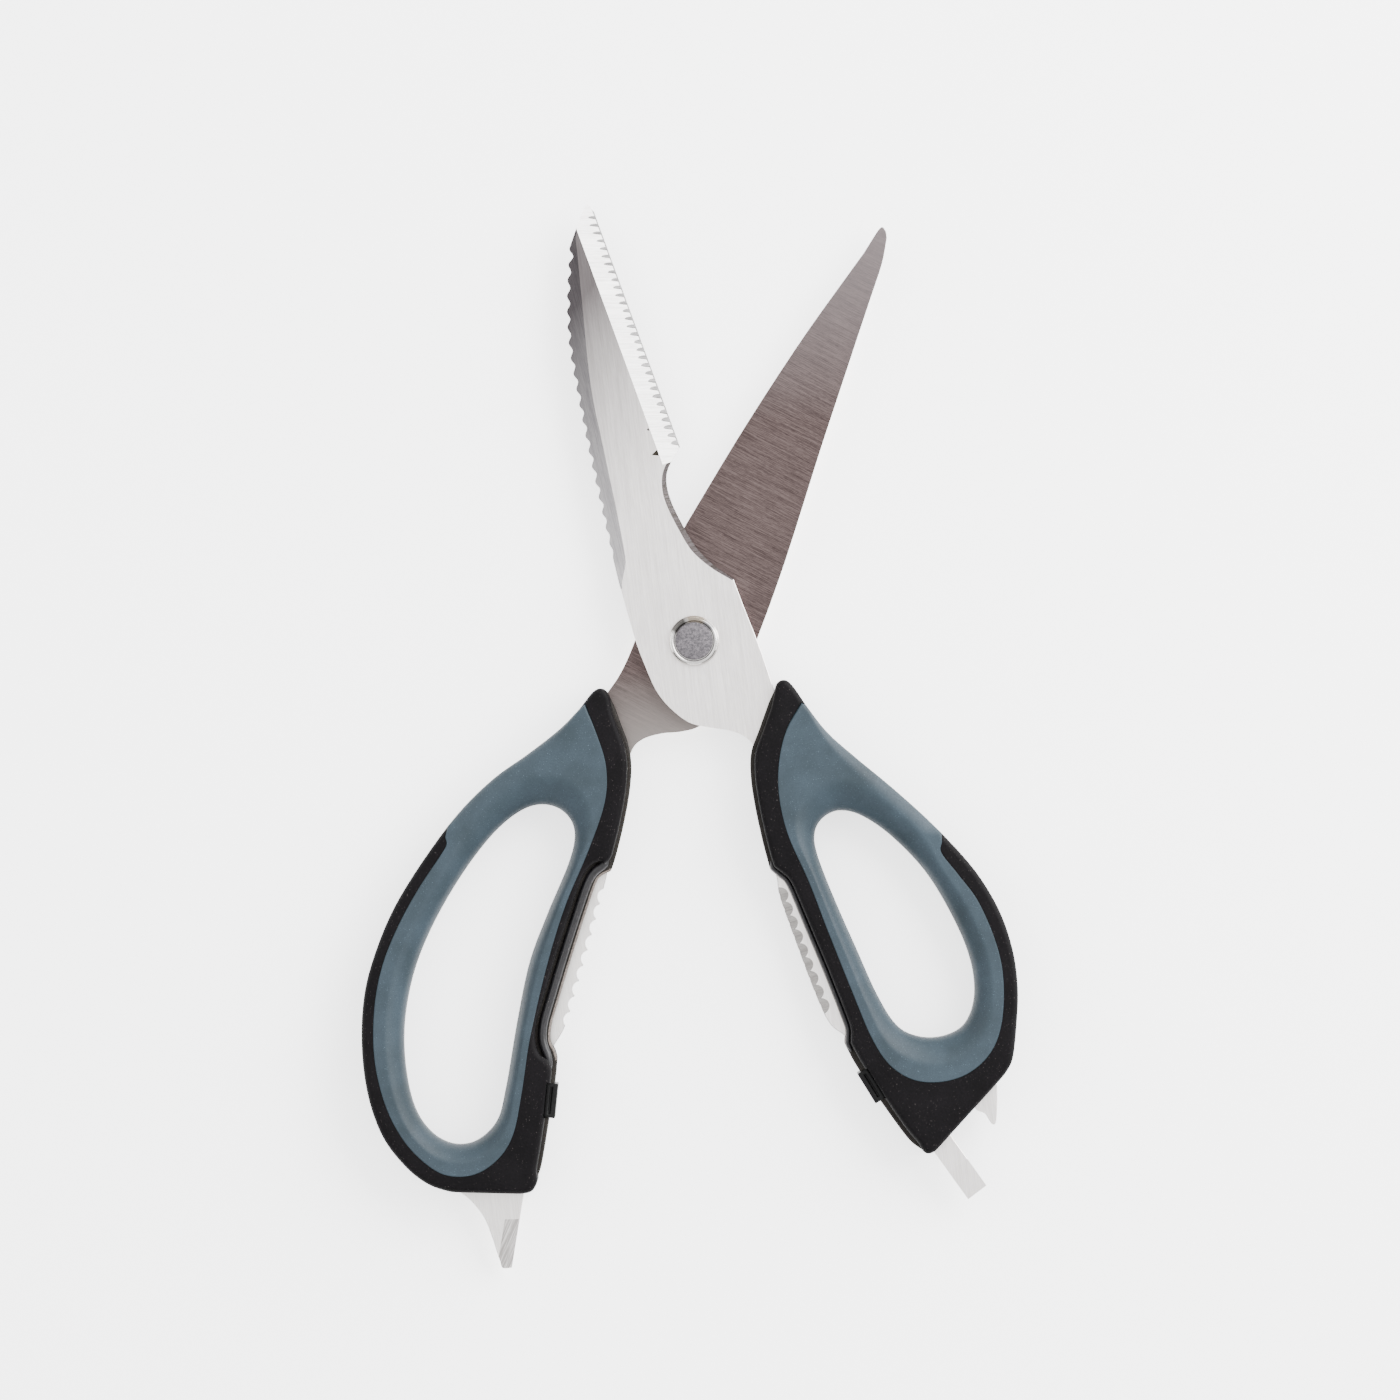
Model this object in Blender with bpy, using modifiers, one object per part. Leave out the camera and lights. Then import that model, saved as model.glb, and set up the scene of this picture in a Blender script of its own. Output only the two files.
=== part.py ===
"""Utility shears with serrated blade, lying open on a flat surface.

Each half is one stamped steel plate, from blade tip to the tool at its far end.
A hard black core is moulded round the plate's tang, and a soft grip lines the finger bow.
Both halves turn on a bolted pivot, and two pads between the bows stop them when they close.

Metres, +Z up. The origin is on the pivot's axis, at the back face of its sleeve.
Outlines are in millimetres, in the frame of the closed shears: pivot at 0, 0 and tips at +Y.
"""

import math

import bmesh
import bpy
from mathutils import Matrix, Vector

MM = 0.001

# Pose in which the halves lie, turned from closed
FRONT_TURN_DEG = 14.0
REAR_TURN_DEG = -23.5

# Clearances
CLEARANCE = 0.3 * MM
RUNNING_CLEARANCE = 0.1 * MM
BLADE_GAP = 0.3 * MM

# Steel plates
PLATE_THICKNESS = 2.5 * MM
EDGE_THICKNESS = 0.4 * MM
CUTTING_BEVEL_WIDTH = 4.7 * MM
BEVEL_ROOT_OVERRUN = 0.6
BEVEL_TIP_OVERRUN = 8.0
SCALLOP_BEVEL_WIDTH = 2.6 * MM
SCALLOP_BEVEL_RUN_IN = 0.16
SCALLOP_BEVEL_START = 0.2
SCALLOP_EDGE_THICKNESS = 0.8 * MM
SCALLOP_COUNT = 20
SCALLOP_DEPTH = 0.65 * MM
TOOTH_COUNT = 10
TOOTH_DEPTH = 0.95 * MM
DRIVER_TIP_THICKNESS = 0.9 * MM
DRIVER_TAPER_LENGTH = 7.0 * MM
PRY_TIP_THICKNESS = 0.8 * MM
PRY_TAPER_LENGTH = 10.5 * MM
POST_HOLE_RADIUS = 1.15 * MM
GRIND_OVERRUN = 1.2 * MM
GRIND_LEAD = 0.3 * MM
TAPER_OVERRUN = 0.2

# Handles
HANDLE_THICKNESS = 12.4 * MM
HANDLE_EDGE_RADIUS = 1.9 * MM
RIB_THICKNESS = 3.0 * MM
RIB_WALL = 1.9 * MM
RIB_TO_HOLE = 2.1 * MM
GRIP_RIM_THICKNESS = 5.6 * MM
GRIP_SCOOP_WIDTH = 7.0 * MM
GRIP_RIM_ROUND = 1.3 * MM
GRIP_EVENING = 0.15
GRIP_CREASE = 0.15 * MM
GRIP_LEDGE = 0.1 * MM
ROUND_SHARE = 0.3
SCOOP_SHARES = (0.3, 0.7)

# Stop pads
PAD_LENGTH = 7.2 * MM
PAD_WIDTH = 5.0 * MM
PAD_DEPTH = 2.6 * MM
PAD_EDGE_RADIUS = 0.5 * MM

# Pivot
SLEEVE_HEAD_RADIUS = 5.4 * MM
SLEEVE_HEAD_HEIGHT = 1.3 * MM
SLEEVE_RADIUS = 3.2 * MM
BOLT_RADIUS = 1.9 * MM
BOLT_HEAD_RADIUS = 3.95 * MM
BOLT_HEAD_HEIGHT = 1.0 * MM
BOLT_LENGTH = 3.6 * MM
CUP_RADIUS = 5.25 * MM
CUP_HEIGHT = 1.5 * MM
CUP_FLOOR = 0.4 * MM
WASHER_RADIUS = 5.0 * MM
WASHER_THICKNESS = 0.4 * MM
PIVOT_CHAMFER = 0.35 * MM
PIVOT_SIDES = 40

# Heights that follow from the stack on the pivot
REAR_PLATE_BOTTOM = SLEEVE_HEAD_HEIGHT + CLEARANCE + WASHER_THICKNESS + CLEARANCE
REAR_PLATE_TOP = REAR_PLATE_BOTTOM + PLATE_THICKNESS
SHEAR_PLANE = REAR_PLATE_TOP + BLADE_GAP / 2
FRONT_PLATE_BOTTOM = SHEAR_PLANE + BLADE_GAP / 2
FRONT_PLATE_TOP = FRONT_PLATE_BOTTOM + PLATE_THICKNESS

# How closely a drawn curve is followed, in millimetres
CURVE_STEP = 0.4
CURVE_TOLERANCE = 0.1
BEVEL_STATIONS = 12
HOLLOW_STEPS = 4
PLAN_MERGE = 0.02
GRIP_STATION_MIN = 0.5
GRIP_STATION_MAX = 5.0

COLORS = {
    "blade_steel": ((0.74, 0.73, 0.72, 1.0), 0.32, 1.0),
    "pivot_steel": ((0.66, 0.65, 0.65, 1.0), 0.35, 1.0),
    "core_black": ((0.022, 0.021, 0.024, 1.0), 0.55, 0.0),
    "grip_blue_grey": ((0.105, 0.165, 0.200, 1.0), 0.6, 0.0),
    "pad_black": ((0.012, 0.012, 0.013, 1.0), 0.4, 0.0),
    "washer_nylon": ((0.70, 0.69, 0.66, 1.0), 0.5, 0.0),
}


# Curves in the plane, in millimetres


def spline(points):
    """A smooth curve through the points, sampled closely."""
    if len(points) == 2:
        return [Vector(p) for p in points]
    knots = [Vector(p) for p in points]
    before = knots[0] * 2 - knots[1]
    after = knots[-1] * 2 - knots[-2]
    knots = [before, *knots, after]
    samples = []
    for a, b, c, d in zip(knots, knots[1:], knots[2:], knots[3:]):
        steps = max(2, math.ceil((c - b).length / CURVE_STEP))
        for i in range(steps):
            t = i / steps
            samples.append(
                0.5
                * (
                    2 * b
                    + (c - a) * t
                    + (2 * a - 5 * b + 4 * c - d) * t**2
                    + (3 * b - a - 3 * c + d) * t**3
                )
            )
    samples.append(knots[-2])
    return samples


def closed_spline(points):
    """A smooth closed curve through the points."""
    count = len(points)
    lapped = [points[i % count] for i in range(-2, count + 3)]
    samples = spline(lapped)
    first = min(range(len(samples)), key=lambda i: (samples[i] - Vector(points[0])).length)
    size = 0
    while True:
        size += 1
        here = samples[(first + size) % len(samples)]
        if size > count and (here - Vector(points[0])).length < CURVE_STEP / 4:
            return samples[first : first + size]


def simplified(samples):
    """The curve with only the points that keep it within the tolerance."""
    keep = [0, len(samples) - 1]
    spans = [(0, len(samples) - 1)]
    while spans:
        low, high = spans.pop()
        if high - low < 2:
            continue
        start, chord = samples[low], samples[high] - samples[low]
        length = chord.length or 1e-9
        worst, far = low, 0.0
        for i in range(low + 1, high):
            offset = samples[i] - start
            gap = abs(chord.x * offset.y - chord.y * offset.x) / length
            if chord.length < 1e-6:
                gap = offset.length
            if gap > far:
                worst, far = i, gap
        if far > CURVE_TOLERANCE:
            keep.append(worst)
            spans += [(low, worst), (worst, high)]
    return [samples[i] for i in sorted(keep)]


def grown(points, distance):
    """The counter-clockwise outline moved outwards by the distance in millimetres."""
    moved = []
    count = len(points)
    for i, p in enumerate(points):
        along_in = (p - points[i - 1]).normalized()
        along_out = (points[(i + 1) % count] - p).normalized()
        normal_in = Vector((along_in.y, -along_in.x))
        normal_out = Vector((along_out.y, -along_out.x))
        middle = (normal_in + normal_out).normalized()
        reach = distance / max(0.5, middle.dot(normal_in))
        moved.append(p + middle * reach)
    return moved


# Outlines of the closed shears, in millimetres

FRONT_BLADE_TIP = [(1.42, 92.49), (0.09, 94.1), (-3.3, 89.5)]
FRONT_BACK_BEVEL = [
    (-3.3, 89.5), (-5.5, 86.0), (-8.4, 76.6), (-10.4, 67.2), (-11.2, 57.2), (-11.8, 45.0),
    (-12.2, 31.0), (-12.3, 14.3),
]
FRONT_TIP_BACK = [(-3.3, 89.5), (-5.5, 86.2)]
FRONT_SCALLOP_LINE = [
    (-5.5, 86.2), (-8.4, 76.6), (-10.4, 67.2), (-11.2, 57.2), (-11.8, 45.0), (-12.2, 31.0),
    (-12.3, 20.8),
]
FRONT_HEEL_LEFT = [
    (-12.3, 20.8), (-12.3, 14.3), (-11.9, 3.6), (-11.1, -3.5), (-10.1, -8.6), (-8.0, -12.9), (-4.9, -16.5),
    (-0.5, -18.7), (3.0, -20.2), (5.6, -22.2), (6.7, -24.8), (5.8, -29.5), (5.1, -35.5),
    (4.9, -43.0), (4.7, -51.5),
]
FRONT_TEETH_LINE = [(4.8, -53.5), (5.9, -65.0), (7.4, -78.0), (8.6, -84.6), (10.4, -87.6)]
FRONT_TANG_END = [(10.4, -87.6), (13.0, -91.5), (15.4, -97.0), (18.0, -104.0), (22.9, -116.1)]
DRIVER_TAB = [(22.9, -116.1), (27.5, -127.6), (31.9, -125.7), (27.1, -113.5)]
HOOK = [
    (28.3, -111.2), (32.6, -108.3), (33.8, -109.9), (35.2, -110.9), (35.9, -113.0),
    (36.6, -113.6), (37.3, -112.6), (38.4, -108.9), (39.2, -105.6),
]
FRONT_TANG_RIGHT = [
    (39.2, -105.6), (37.0, -103.6), (32.5, -103.9), (28.0, -104.0), (24.0, -102.9),
    (20.2, -100.8), (17.0, -97.3), (15.3, -92.8), (14.2, -87.4), (12.2, -76.3), (10.4, -62.4),
    (9.5, -55.0), (8.4, -48.5), (8.1, -43.0), (8.2, -38.0), (9.0, -32.5), (10.9, -27.0),
    (13.1, -22.3), (13.9, -17.5), (13.5, -10.0), (12.9, -3.5), (11.9, 4.0), (11.15, 10.6),
]
FRONT_NOTCH = [
    (11.15, 10.6), (7.8, 14.5), (5.2, 18.9), (3.6, 24.1), (2.5, 29.2), (2.4, 33.2),
    (3.5, 36.4), (7.0, 40.3),
]
FRONT_CUTTING_EDGE = [(7.0, 40.3), (1.42, 92.49)]

REAR_BLADE_TIP = [(3.4, 93.8), (2.5, 95.1), (1.2, 95.0), (0.2, 89.0)]
REAR_CUTTING_EDGE = [(0.2, 89.0), (-4.5, 67.1), (-8.3, 44.5), (-11.3, 21.9)]
REAR_HEEL_LEFT = [
    (-11.3, 21.9), (-11.8, 10.0), (-11.5, -2.0), (-11.3, -9.0), (-11.6, -13.5), (-12.4, -17.8),
    (-12.2, -21.3), (-9.6, -25.0), (-6.8, -28.7), (-4.4, -33.3), (-2.8, -38.3), (-1.9, -43.8),
    (-1.6, -52.0), (-1.4, -61.5), (-0.5, -71.0), (1.2, -82.0), (3.1, -91.5), (5.0, -98.3),
    (6.9, -105.0), (7.8, -110.5), (7.2, -115.5), (4.8, -119.9), (2.2, -122.9), (0.6, -125.7),
]
PRY_TIP = [(0.6, -125.7), (3.7, -126.4), (7.7, -128.5), (11.0, -131.7), (14.6, -135.8)]
PRY_END = [(14.6, -135.8), (15.7, -136.9), (17.4, -136.1)]
PRY_BACK = [(17.4, -136.1), (14.95, -126.5), (13.4, -120.4)]
REAR_TANG_RIGHT = [
    (13.4, -120.4), (12.6, -117.0), (11.6, -112.5), (9.3, -105.3), (8.0, -99.5), (7.2, -94.5),
    (6.9, -89.8),
]
REAR_TEETH_LINE = [(6.9, -89.8), (5.7, -82.5), (4.7, -75.6), (3.8, -63.4), (2.9, -52.8)]
REAR_HEEL_RIGHT = [
    (2.9, -52.8), (2.0, -49.0), (1.2, -43.0), (0.0, -37.0), (-1.7, -31.2), (-2.8, -26.4),
    (-1.7, -23.3), (1.4, -20.6), (5.2, -18.5), (8.2, -15.9), (10.2, -11.2), (11.4, -5.0),
    (11.9, 0.5), (12.0, 5.5),
]
REAR_SPINE = [
    (12.0, 5.5), (11.6, 13.5), (10.9, 23.0), (9.9, 33.0), (8.4, 47.0), (7.2, 60.0),
    (6.1, 72.0), (5.3, 81.0), (4.6, 88.5), (3.4, 93.8),
]

# The handles' outlines run counter-clockwise, and start at the top corner near the pivot
FRONT_HANDLE_INNER = [
    (14.1, -13.3), (9.0, -21.0), (6.0, -25.6), (4.6, -31.0), (4.0, -37.5), (3.8, -44.5),
    (3.9, -50.4),
]
FRONT_RECESS = [
    (3.9, -50.4), (5.3, -52.4), (6.5, -54.6), (8.0, -64.0), (9.6, -74.5), (10.9, -84.5),
    (11.0, -87.0), (10.2, -89.6),
]
FRONT_HANDLE_LOWER = [(10.2, -89.6), (11.6, -95.0), (14.8, -103.5), (18.0, -111.4), (20.3, -115.2)]
FRONT_HANDLE_END = [(20.3, -115.2), (21.4, -116.1), (23.0, -116.0)]
FRONT_HANDLE_FACE = [(23.0, -116.0), (41.2, -103.8)]
FRONT_HANDLE_OUTER = [
    (41.2, -103.8), (43.6, -101.0), (46.2, -94.0), (48.2, -87.0), (49.1, -79.5), (48.6, -71.5),
    (46.6, -63.8), (43.6, -57.0), (38.5, -48.2), (32.6, -39.5), (26.9, -31.8), (22.4, -25.2),
    (19.4, -18.5),
]
FRONT_HANDLE_CROWN = [(19.4, -18.5), (18.0, -14.6), (16.8, -12.6), (15.4, -12.4), (14.1, -13.3)]
FRONT_GRIP_EDGE = [
    (18.6, -17.9), (14.3, -22.6), (11.2, -28.6), (9.4, -35.5), (9.2, -44.0), (11.1, -55.0),
    (12.4, -65.5), (14.4, -80.0), (15.9, -89.5), (18.2, -96.0), (22.4, -100.3), (28.0, -102.1),
    (33.8, -101.7), (39.2, -98.8), (43.0, -93.5), (45.6, -85.0), (46.1, -77.0), (44.6, -67.5),
    (41.9, -60.9), (39.9, -56.6), (39.5, -54.8), (40.2, -53.4),
]
FRONT_HOLE = [
    (21.0, -41.9), (17.2, -42.6), (14.8, -45.3), (14.3, -50.0), (15.5, -59.5), (17.4, -70.5),
    (19.4, -81.5), (21.9, -88.7), (26.0, -92.1), (31.2, -93.1), (35.8, -91.6), (39.0, -86.7),
    (40.1, -79.5), (39.0, -70.7), (35.7, -59.4), (30.6, -50.2), (25.4, -44.2),
]

REAR_HANDLE_CROWN = [(-11.4, -17.4), (-12.6, -16.8), (-14.0, -16.8), (-15.2, -18.3), (-16.2, -22.3)]
REAR_HANDLE_OUTER = [
    (-16.2, -22.3), (-18.4, -28.1), (-22.4, -35.5), (-27.0, -43.2), (-30.8, -52.6),
    (-33.5, -63.8), (-35.2, -75.0), (-35.3, -84.5), (-34.0, -94.5), (-30.4, -104.6),
    (-25.0, -114.0), (-18.6, -121.0), (-11.8, -124.9), (-6.0, -126.5), (-1.2, -126.2),
    (1.0, -125.5),
]
REAR_HANDLE_FACE = [(1.0, -125.5), (13.2, -120.5)]
REAR_HANDLE_END = [(13.2, -120.5), (14.9, -119.2), (15.2, -117.0)]
REAR_HANDLE_LOWER = [(15.2, -117.0), (14.0, -111.4), (12.2, -104.4), (10.2, -96.5), (8.6, -91.6)]
REAR_RECESS = [
    (8.6, -91.6), (7.4, -90.2), (5.8, -88.8), (4.7, -85.6), (4.1, -81.0), (2.8, -70.0),
    (1.5, -56.0), (1.8, -53.0), (3.3, -51.2),
]
REAR_HANDLE_INNER = [
    (3.3, -51.2), (3.0, -48.0), (1.9, -41.5), (0.4, -35.0), (-1.5, -29.5), (-4.0, -25.4),
    (-7.6, -21.6), (-11.4, -17.4),
]
REAR_GRIP_EDGE = [
    (-31.4, -58.4), (-30.5, -59.8), (-30.8, -62.6), (-32.2, -70.5), (-33.0, -79.5), (-32.7, -88.5),
    (-30.6, -97.5), (-26.4, -107.0), (-20.4, -115.0), (-13.6, -120.4), (-6.4, -123.1),
    (-1.5, -122.9), (3.0, -120.2), (5.9, -115.2), (6.5, -109.4), (4.7, -101.0), (1.9, -90.6),
    (0.0, -81.0), (-1.7, -70.0), (-2.6, -60.0), (-2.7, -49.0), (-3.6, -38.4), (-6.4, -31.3),
    (-11.0, -25.8), (-15.6, -21.1),
]
REAR_HOLE = [
    (-15.6, -44.2), (-19.4, -47.6), (-22.7, -54.4), (-25.2, -64.8), (-26.5, -76.4), (-26.2, -87.0),
    (-23.9, -97.2), (-20.0, -105.8), (-14.8, -113.0), (-9.4, -116.5), (-4.2, -116.9), (0.0, -114.3),
    (2.2, -108.8), (1.1, -101.4), (-2.3, -87.6), (-4.8, -75.4), (-5.4, -64.5), (-5.6, -52.6),
    (-7.2, -46.4), (-11.0, -43.7),
]

# Where the soft grip first reaches the handles' outer side, above the black strip
FRONT_STRIP_TOP = (40.5, -51.6)
REAR_STRIP_TOP = (-31.5, -56.2)

# Ways in which the grips reach the handles' outer side
FRONT_GRIP_SIDE = Vector((5.0, 3.0))
REAR_GRIP_SIDE = Vector((-5.0, 3.0))

# The pads meet on this line, at this middle, when the shears close
STOP_LINE_START = Vector((11.1, -96.4))
STOP_LINE_END = Vector((13.3, -103.3))

FRONT_POSTS = [(10.2, -20.6), (24.2, -108.6)]
REAR_POSTS = [(-8.4, -21.8), (9.8, -115.0)]


# Solids


def to_mesh(source):
    """The object made a mesh with welded caps; the source is removed."""
    evaluated = source.evaluated_get(bpy.context.evaluated_depsgraph_get())
    mesh = bpy.data.meshes.new_from_object(evaluated)
    name = source.name
    matrix = source.matrix_world.copy()
    bpy.data.objects.remove(source)
    made = bpy.data.objects.new(name, mesh)
    made.matrix_world = matrix
    bpy.context.scene.collection.objects.link(made)
    bm = bmesh.new()
    bm.from_mesh(mesh)
    bmesh.ops.remove_doubles(bm, verts=bm.verts, dist=0.00001)
    bmesh.ops.recalc_face_normals(bm, faces=bm.faces)
    bm.to_mesh(mesh)
    bm.free()
    return made


def plate(name, loops, bottom, top, edge_radius=0.0):
    """A flat plate from outlines in millimetres, the first its rim and the others its holes."""
    curve = bpy.data.curves.new(name, "CURVE")
    curve.dimensions = "2D"
    curve.fill_mode = "BOTH"
    curve.extrude = (top - bottom) / 2 - edge_radius
    curve.bevel_depth = edge_radius
    curve.bevel_resolution = 1
    curve.offset = -edge_radius
    for loop in loops:
        spline_data = curve.splines.new("POLY")
        spline_data.points.add(len(loop) - 1)
        for point, p in zip(spline_data.points, loop):
            point.co = (p.x * MM, p.y * MM, 0.0, 1.0)
        spline_data.use_cyclic_u = True
    source = bpy.data.objects.new(name, curve)
    source.location.z = (top + bottom) / 2
    bpy.context.scene.collection.objects.link(source)
    bpy.context.view_layer.update()
    made = to_mesh(source)
    bake_place(made)
    return made


def bake_place(item):
    """Moves the object's place into its mesh."""
    item.data.transform(item.matrix_world)
    item.matrix_world = Matrix.Identity(4)


def loft(name, sections, ring=False):
    """A closed solid over sections of equal length; a ring joins its last section to its first."""
    bm = bmesh.new()
    rows = [[bm.verts.new(p) for p in section] for section in sections]
    pairs = list(zip(rows, rows[1:]))
    if ring:
        pairs.append((rows[-1], rows[0]))
    for row, following in pairs:
        for i in range(len(row)):
            j = (i + 1) % len(row)
            bm.faces.new((row[i], row[j], following[j], following[i]))
    if not ring:
        bm.faces.new(rows[0])
        bm.faces.new(reversed(rows[-1]))
    bmesh.ops.recalc_face_normals(bm, faces=bm.faces)
    mesh = bpy.data.meshes.new(name)
    bm.to_mesh(mesh)
    bm.free()
    made = bpy.data.objects.new(name, mesh)
    bpy.context.scene.collection.objects.link(made)
    return made


def turned(name, profile):
    """A solid turned on the pivot's axis, from a profile of radius and height, top to bottom."""
    mesh = bpy.data.meshes.new(name)
    edges = [(i, i + 1) for i in range(len(profile) - 1)]
    closed_ring = min(r for r, _ in profile) > 0
    if closed_ring:
        edges.append((len(profile) - 1, 0))
    mesh.from_pydata([(r, 0.0, z) for r, z in profile], edges, [])
    source = bpy.data.objects.new(name, mesh)
    bpy.context.scene.collection.objects.link(source)
    screw = source.modifiers.new("turn", "SCREW")
    screw.steps = PIVOT_SIDES
    screw.render_steps = PIVOT_SIDES
    screw.use_merge_vertices = True
    screw.merge_threshold = 0.00001
    bpy.context.view_layer.update()
    return to_mesh(source)


def combine(target, tool, operation):
    """Applies a Boolean to the target and removes the tool."""
    modifier = target.modifiers.new("combine", "BOOLEAN")
    modifier.object = tool
    modifier.operation = operation
    modifier.solver = "EXACT"
    bpy.context.view_layer.update()
    evaluated = target.evaluated_get(bpy.context.evaluated_depsgraph_get())
    mesh = bpy.data.meshes.new_from_object(evaluated)
    target.modifiers.clear()
    target.data = mesh
    bpy.data.objects.remove(tool)


def cut(target, tool):
    combine(target, tool, "DIFFERENCE")


def join(target, tool):
    combine(target, tool, "UNION")


# Pieces of the outlines


def between(samples, start, end):
    """The stretch of a sampled curve between the points nearest to two places."""
    first = min(range(len(samples)), key=lambda i: (samples[i] - Vector(start)).length)
    last = min(range(len(samples)), key=lambda i: (samples[i] - Vector(end)).length)
    return samples[first : last + 1]


def scalloped(run, count, depth):
    """Equal hollows along a curve, sunk to the left of its direction, with cusps between them."""
    samples = spline(run)
    lengths = [0.0]
    for a, b in zip(samples, samples[1:]):
        lengths.append(lengths[-1] + (b - a).length)
    points = []
    steps = HOLLOW_STEPS
    for k in range(count * steps + 1):
        reach = lengths[-1] * k / (count * steps)
        i = min(len(samples) - 2, max(0, sum(1 for v in lengths if v < reach) - 1))
        part = (reach - lengths[i]) / max(1e-9, lengths[i + 1] - lengths[i])
        along = (samples[i + 1] - samples[i]).normalized()
        inward = Vector((-along.y, along.x))
        hollow = depth / MM * math.sin(math.pi * (k % steps) / steps)
        points.append(samples[i].lerp(samples[i + 1], part) + inward * hollow)
    return points


def drawn(*stretches):
    """One closed outline from runs of control points and ready-made lists of points."""
    points = []
    for stretch in stretches:
        ready = stretch if isinstance(stretch[0], Vector) else simplified(spline(stretch))
        for p in ready:
            if not points or (p - points[-1]).length > PLAN_MERGE:
                points.append(p)
    if (points[0] - points[-1]).length < PLAN_MERGE:
        points.pop()
    return points


def front_plate_outline(teeth=True):
    scallops = scalloped(FRONT_SCALLOP_LINE, SCALLOP_COUNT, SCALLOP_DEPTH)
    teeth_edge = scalloped(FRONT_TEETH_LINE, TOOTH_COUNT, TOOTH_DEPTH if teeth else 0.0)
    return drawn(
        FRONT_BLADE_TIP, FRONT_TIP_BACK, scallops, FRONT_HEEL_LEFT, teeth_edge, FRONT_TANG_END,
        DRIVER_TAB[:2], DRIVER_TAB[1:3], DRIVER_TAB[2:], HOOK, FRONT_TANG_RIGHT, FRONT_NOTCH,
        FRONT_CUTTING_EDGE,
    )


def rear_plate_outline(teeth=True):
    teeth_edge = scalloped(REAR_TEETH_LINE, TOOTH_COUNT, TOOTH_DEPTH if teeth else 0.0)
    return drawn(
        REAR_BLADE_TIP, REAR_CUTTING_EDGE, REAR_HEEL_LEFT, PRY_TIP, PRY_END, PRY_BACK,
        REAR_TANG_RIGHT, teeth_edge, REAR_HEEL_RIGHT, REAR_SPINE,
    )


def front_handle_outline():
    return drawn(
        FRONT_HANDLE_INNER, FRONT_RECESS, FRONT_HANDLE_LOWER, FRONT_HANDLE_END,
        FRONT_HANDLE_FACE, FRONT_HANDLE_OUTER, FRONT_HANDLE_CROWN,
    )


def rear_handle_outline():
    return drawn(
        REAR_HANDLE_CROWN, REAR_HANDLE_OUTER, REAR_HANDLE_FACE, REAR_HANDLE_END,
        REAR_HANDLE_LOWER, REAR_RECESS, REAR_HANDLE_INNER,
    )


def circle(centre, radius):
    """A round outline in millimetres, for a hole in a plate."""
    turns = [2 * math.pi * i / PIVOT_SIDES for i in range(PIVOT_SIDES)]
    return [
        Vector((centre[0] + radius / MM * math.cos(a), centre[1] + radius / MM * math.sin(a)))
        for a in turns
    ]


# Blades


def stations_along(run, count):
    """Points at the middles of equal stretches of a curve, with its two ends run on a little."""
    samples = spline(run)
    step = len(samples) / count
    middles = [samples[int((k + 0.5) * step)] for k in range(count)]
    run_in = samples[0] + (samples[0] - middles[0]).normalized()
    run_out = samples[-1] + (samples[-1] - middles[-1]).normalized()
    return [run_in, *middles, run_out]


def bevel_cutter(name, edge, widths, depths, face, downwards):
    """A wedge that grinds a plate along its edge, which has the plate on its left."""
    past = GRIND_OVERRUN / MM
    lead = GRIND_LEAD / MM
    sections = []
    for i, p in enumerate(edge):
        along = (edge[min(i + 1, len(edge) - 1)] - edge[max(i - 1, 0)]).normalized()
        inward = Vector((-along.y, along.x))
        width = widths[i] / MM
        low = face - downwards * depths[i] * (1 + past / width)
        high = face + downwards * depths[i] * lead / width
        inner = (p + inward * (width + lead)) * MM
        outer = (p - inward * past) * MM
        sections.append(
            [
                (inner.x, inner.y, high),
                (outer.x, outer.y, low),
                (outer.x, outer.y, face + downwards * MM),
            ]
        )
    return loft(name, sections)


def taper_cutter(name, root_left, root_right, tip_left, tip_right, face, depth, downwards):
    """A wedge that thins a flat tip from one face, between its root line and its end."""
    root = [Vector(root_left), Vector(root_right)]
    tip = [Vector(tip_left), Vector(tip_right)]
    before = [r - (t - r) * TAPER_OVERRUN for r, t in zip(root, tip)]
    beyond = [t + (t - r) * TAPER_OVERRUN for r, t in zip(root, tip)]
    spread = (root[1] - root[0]).normalized() * GRIND_OVERRUN / MM
    sections = []
    for r, t, side in zip(before, beyond, (-1, 1)):
        a = (r + spread * side) * MM
        b = (t + spread * side) * MM
        sections.append(
            [
                (a.x, a.y, face + downwards * depth * TAPER_OVERRUN),
                (b.x, b.y, face - downwards * depth * (1 + TAPER_OVERRUN)),
                (b.x, b.y, face + downwards * MM),
            ]
        )
    return loft(name, sections)


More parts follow.
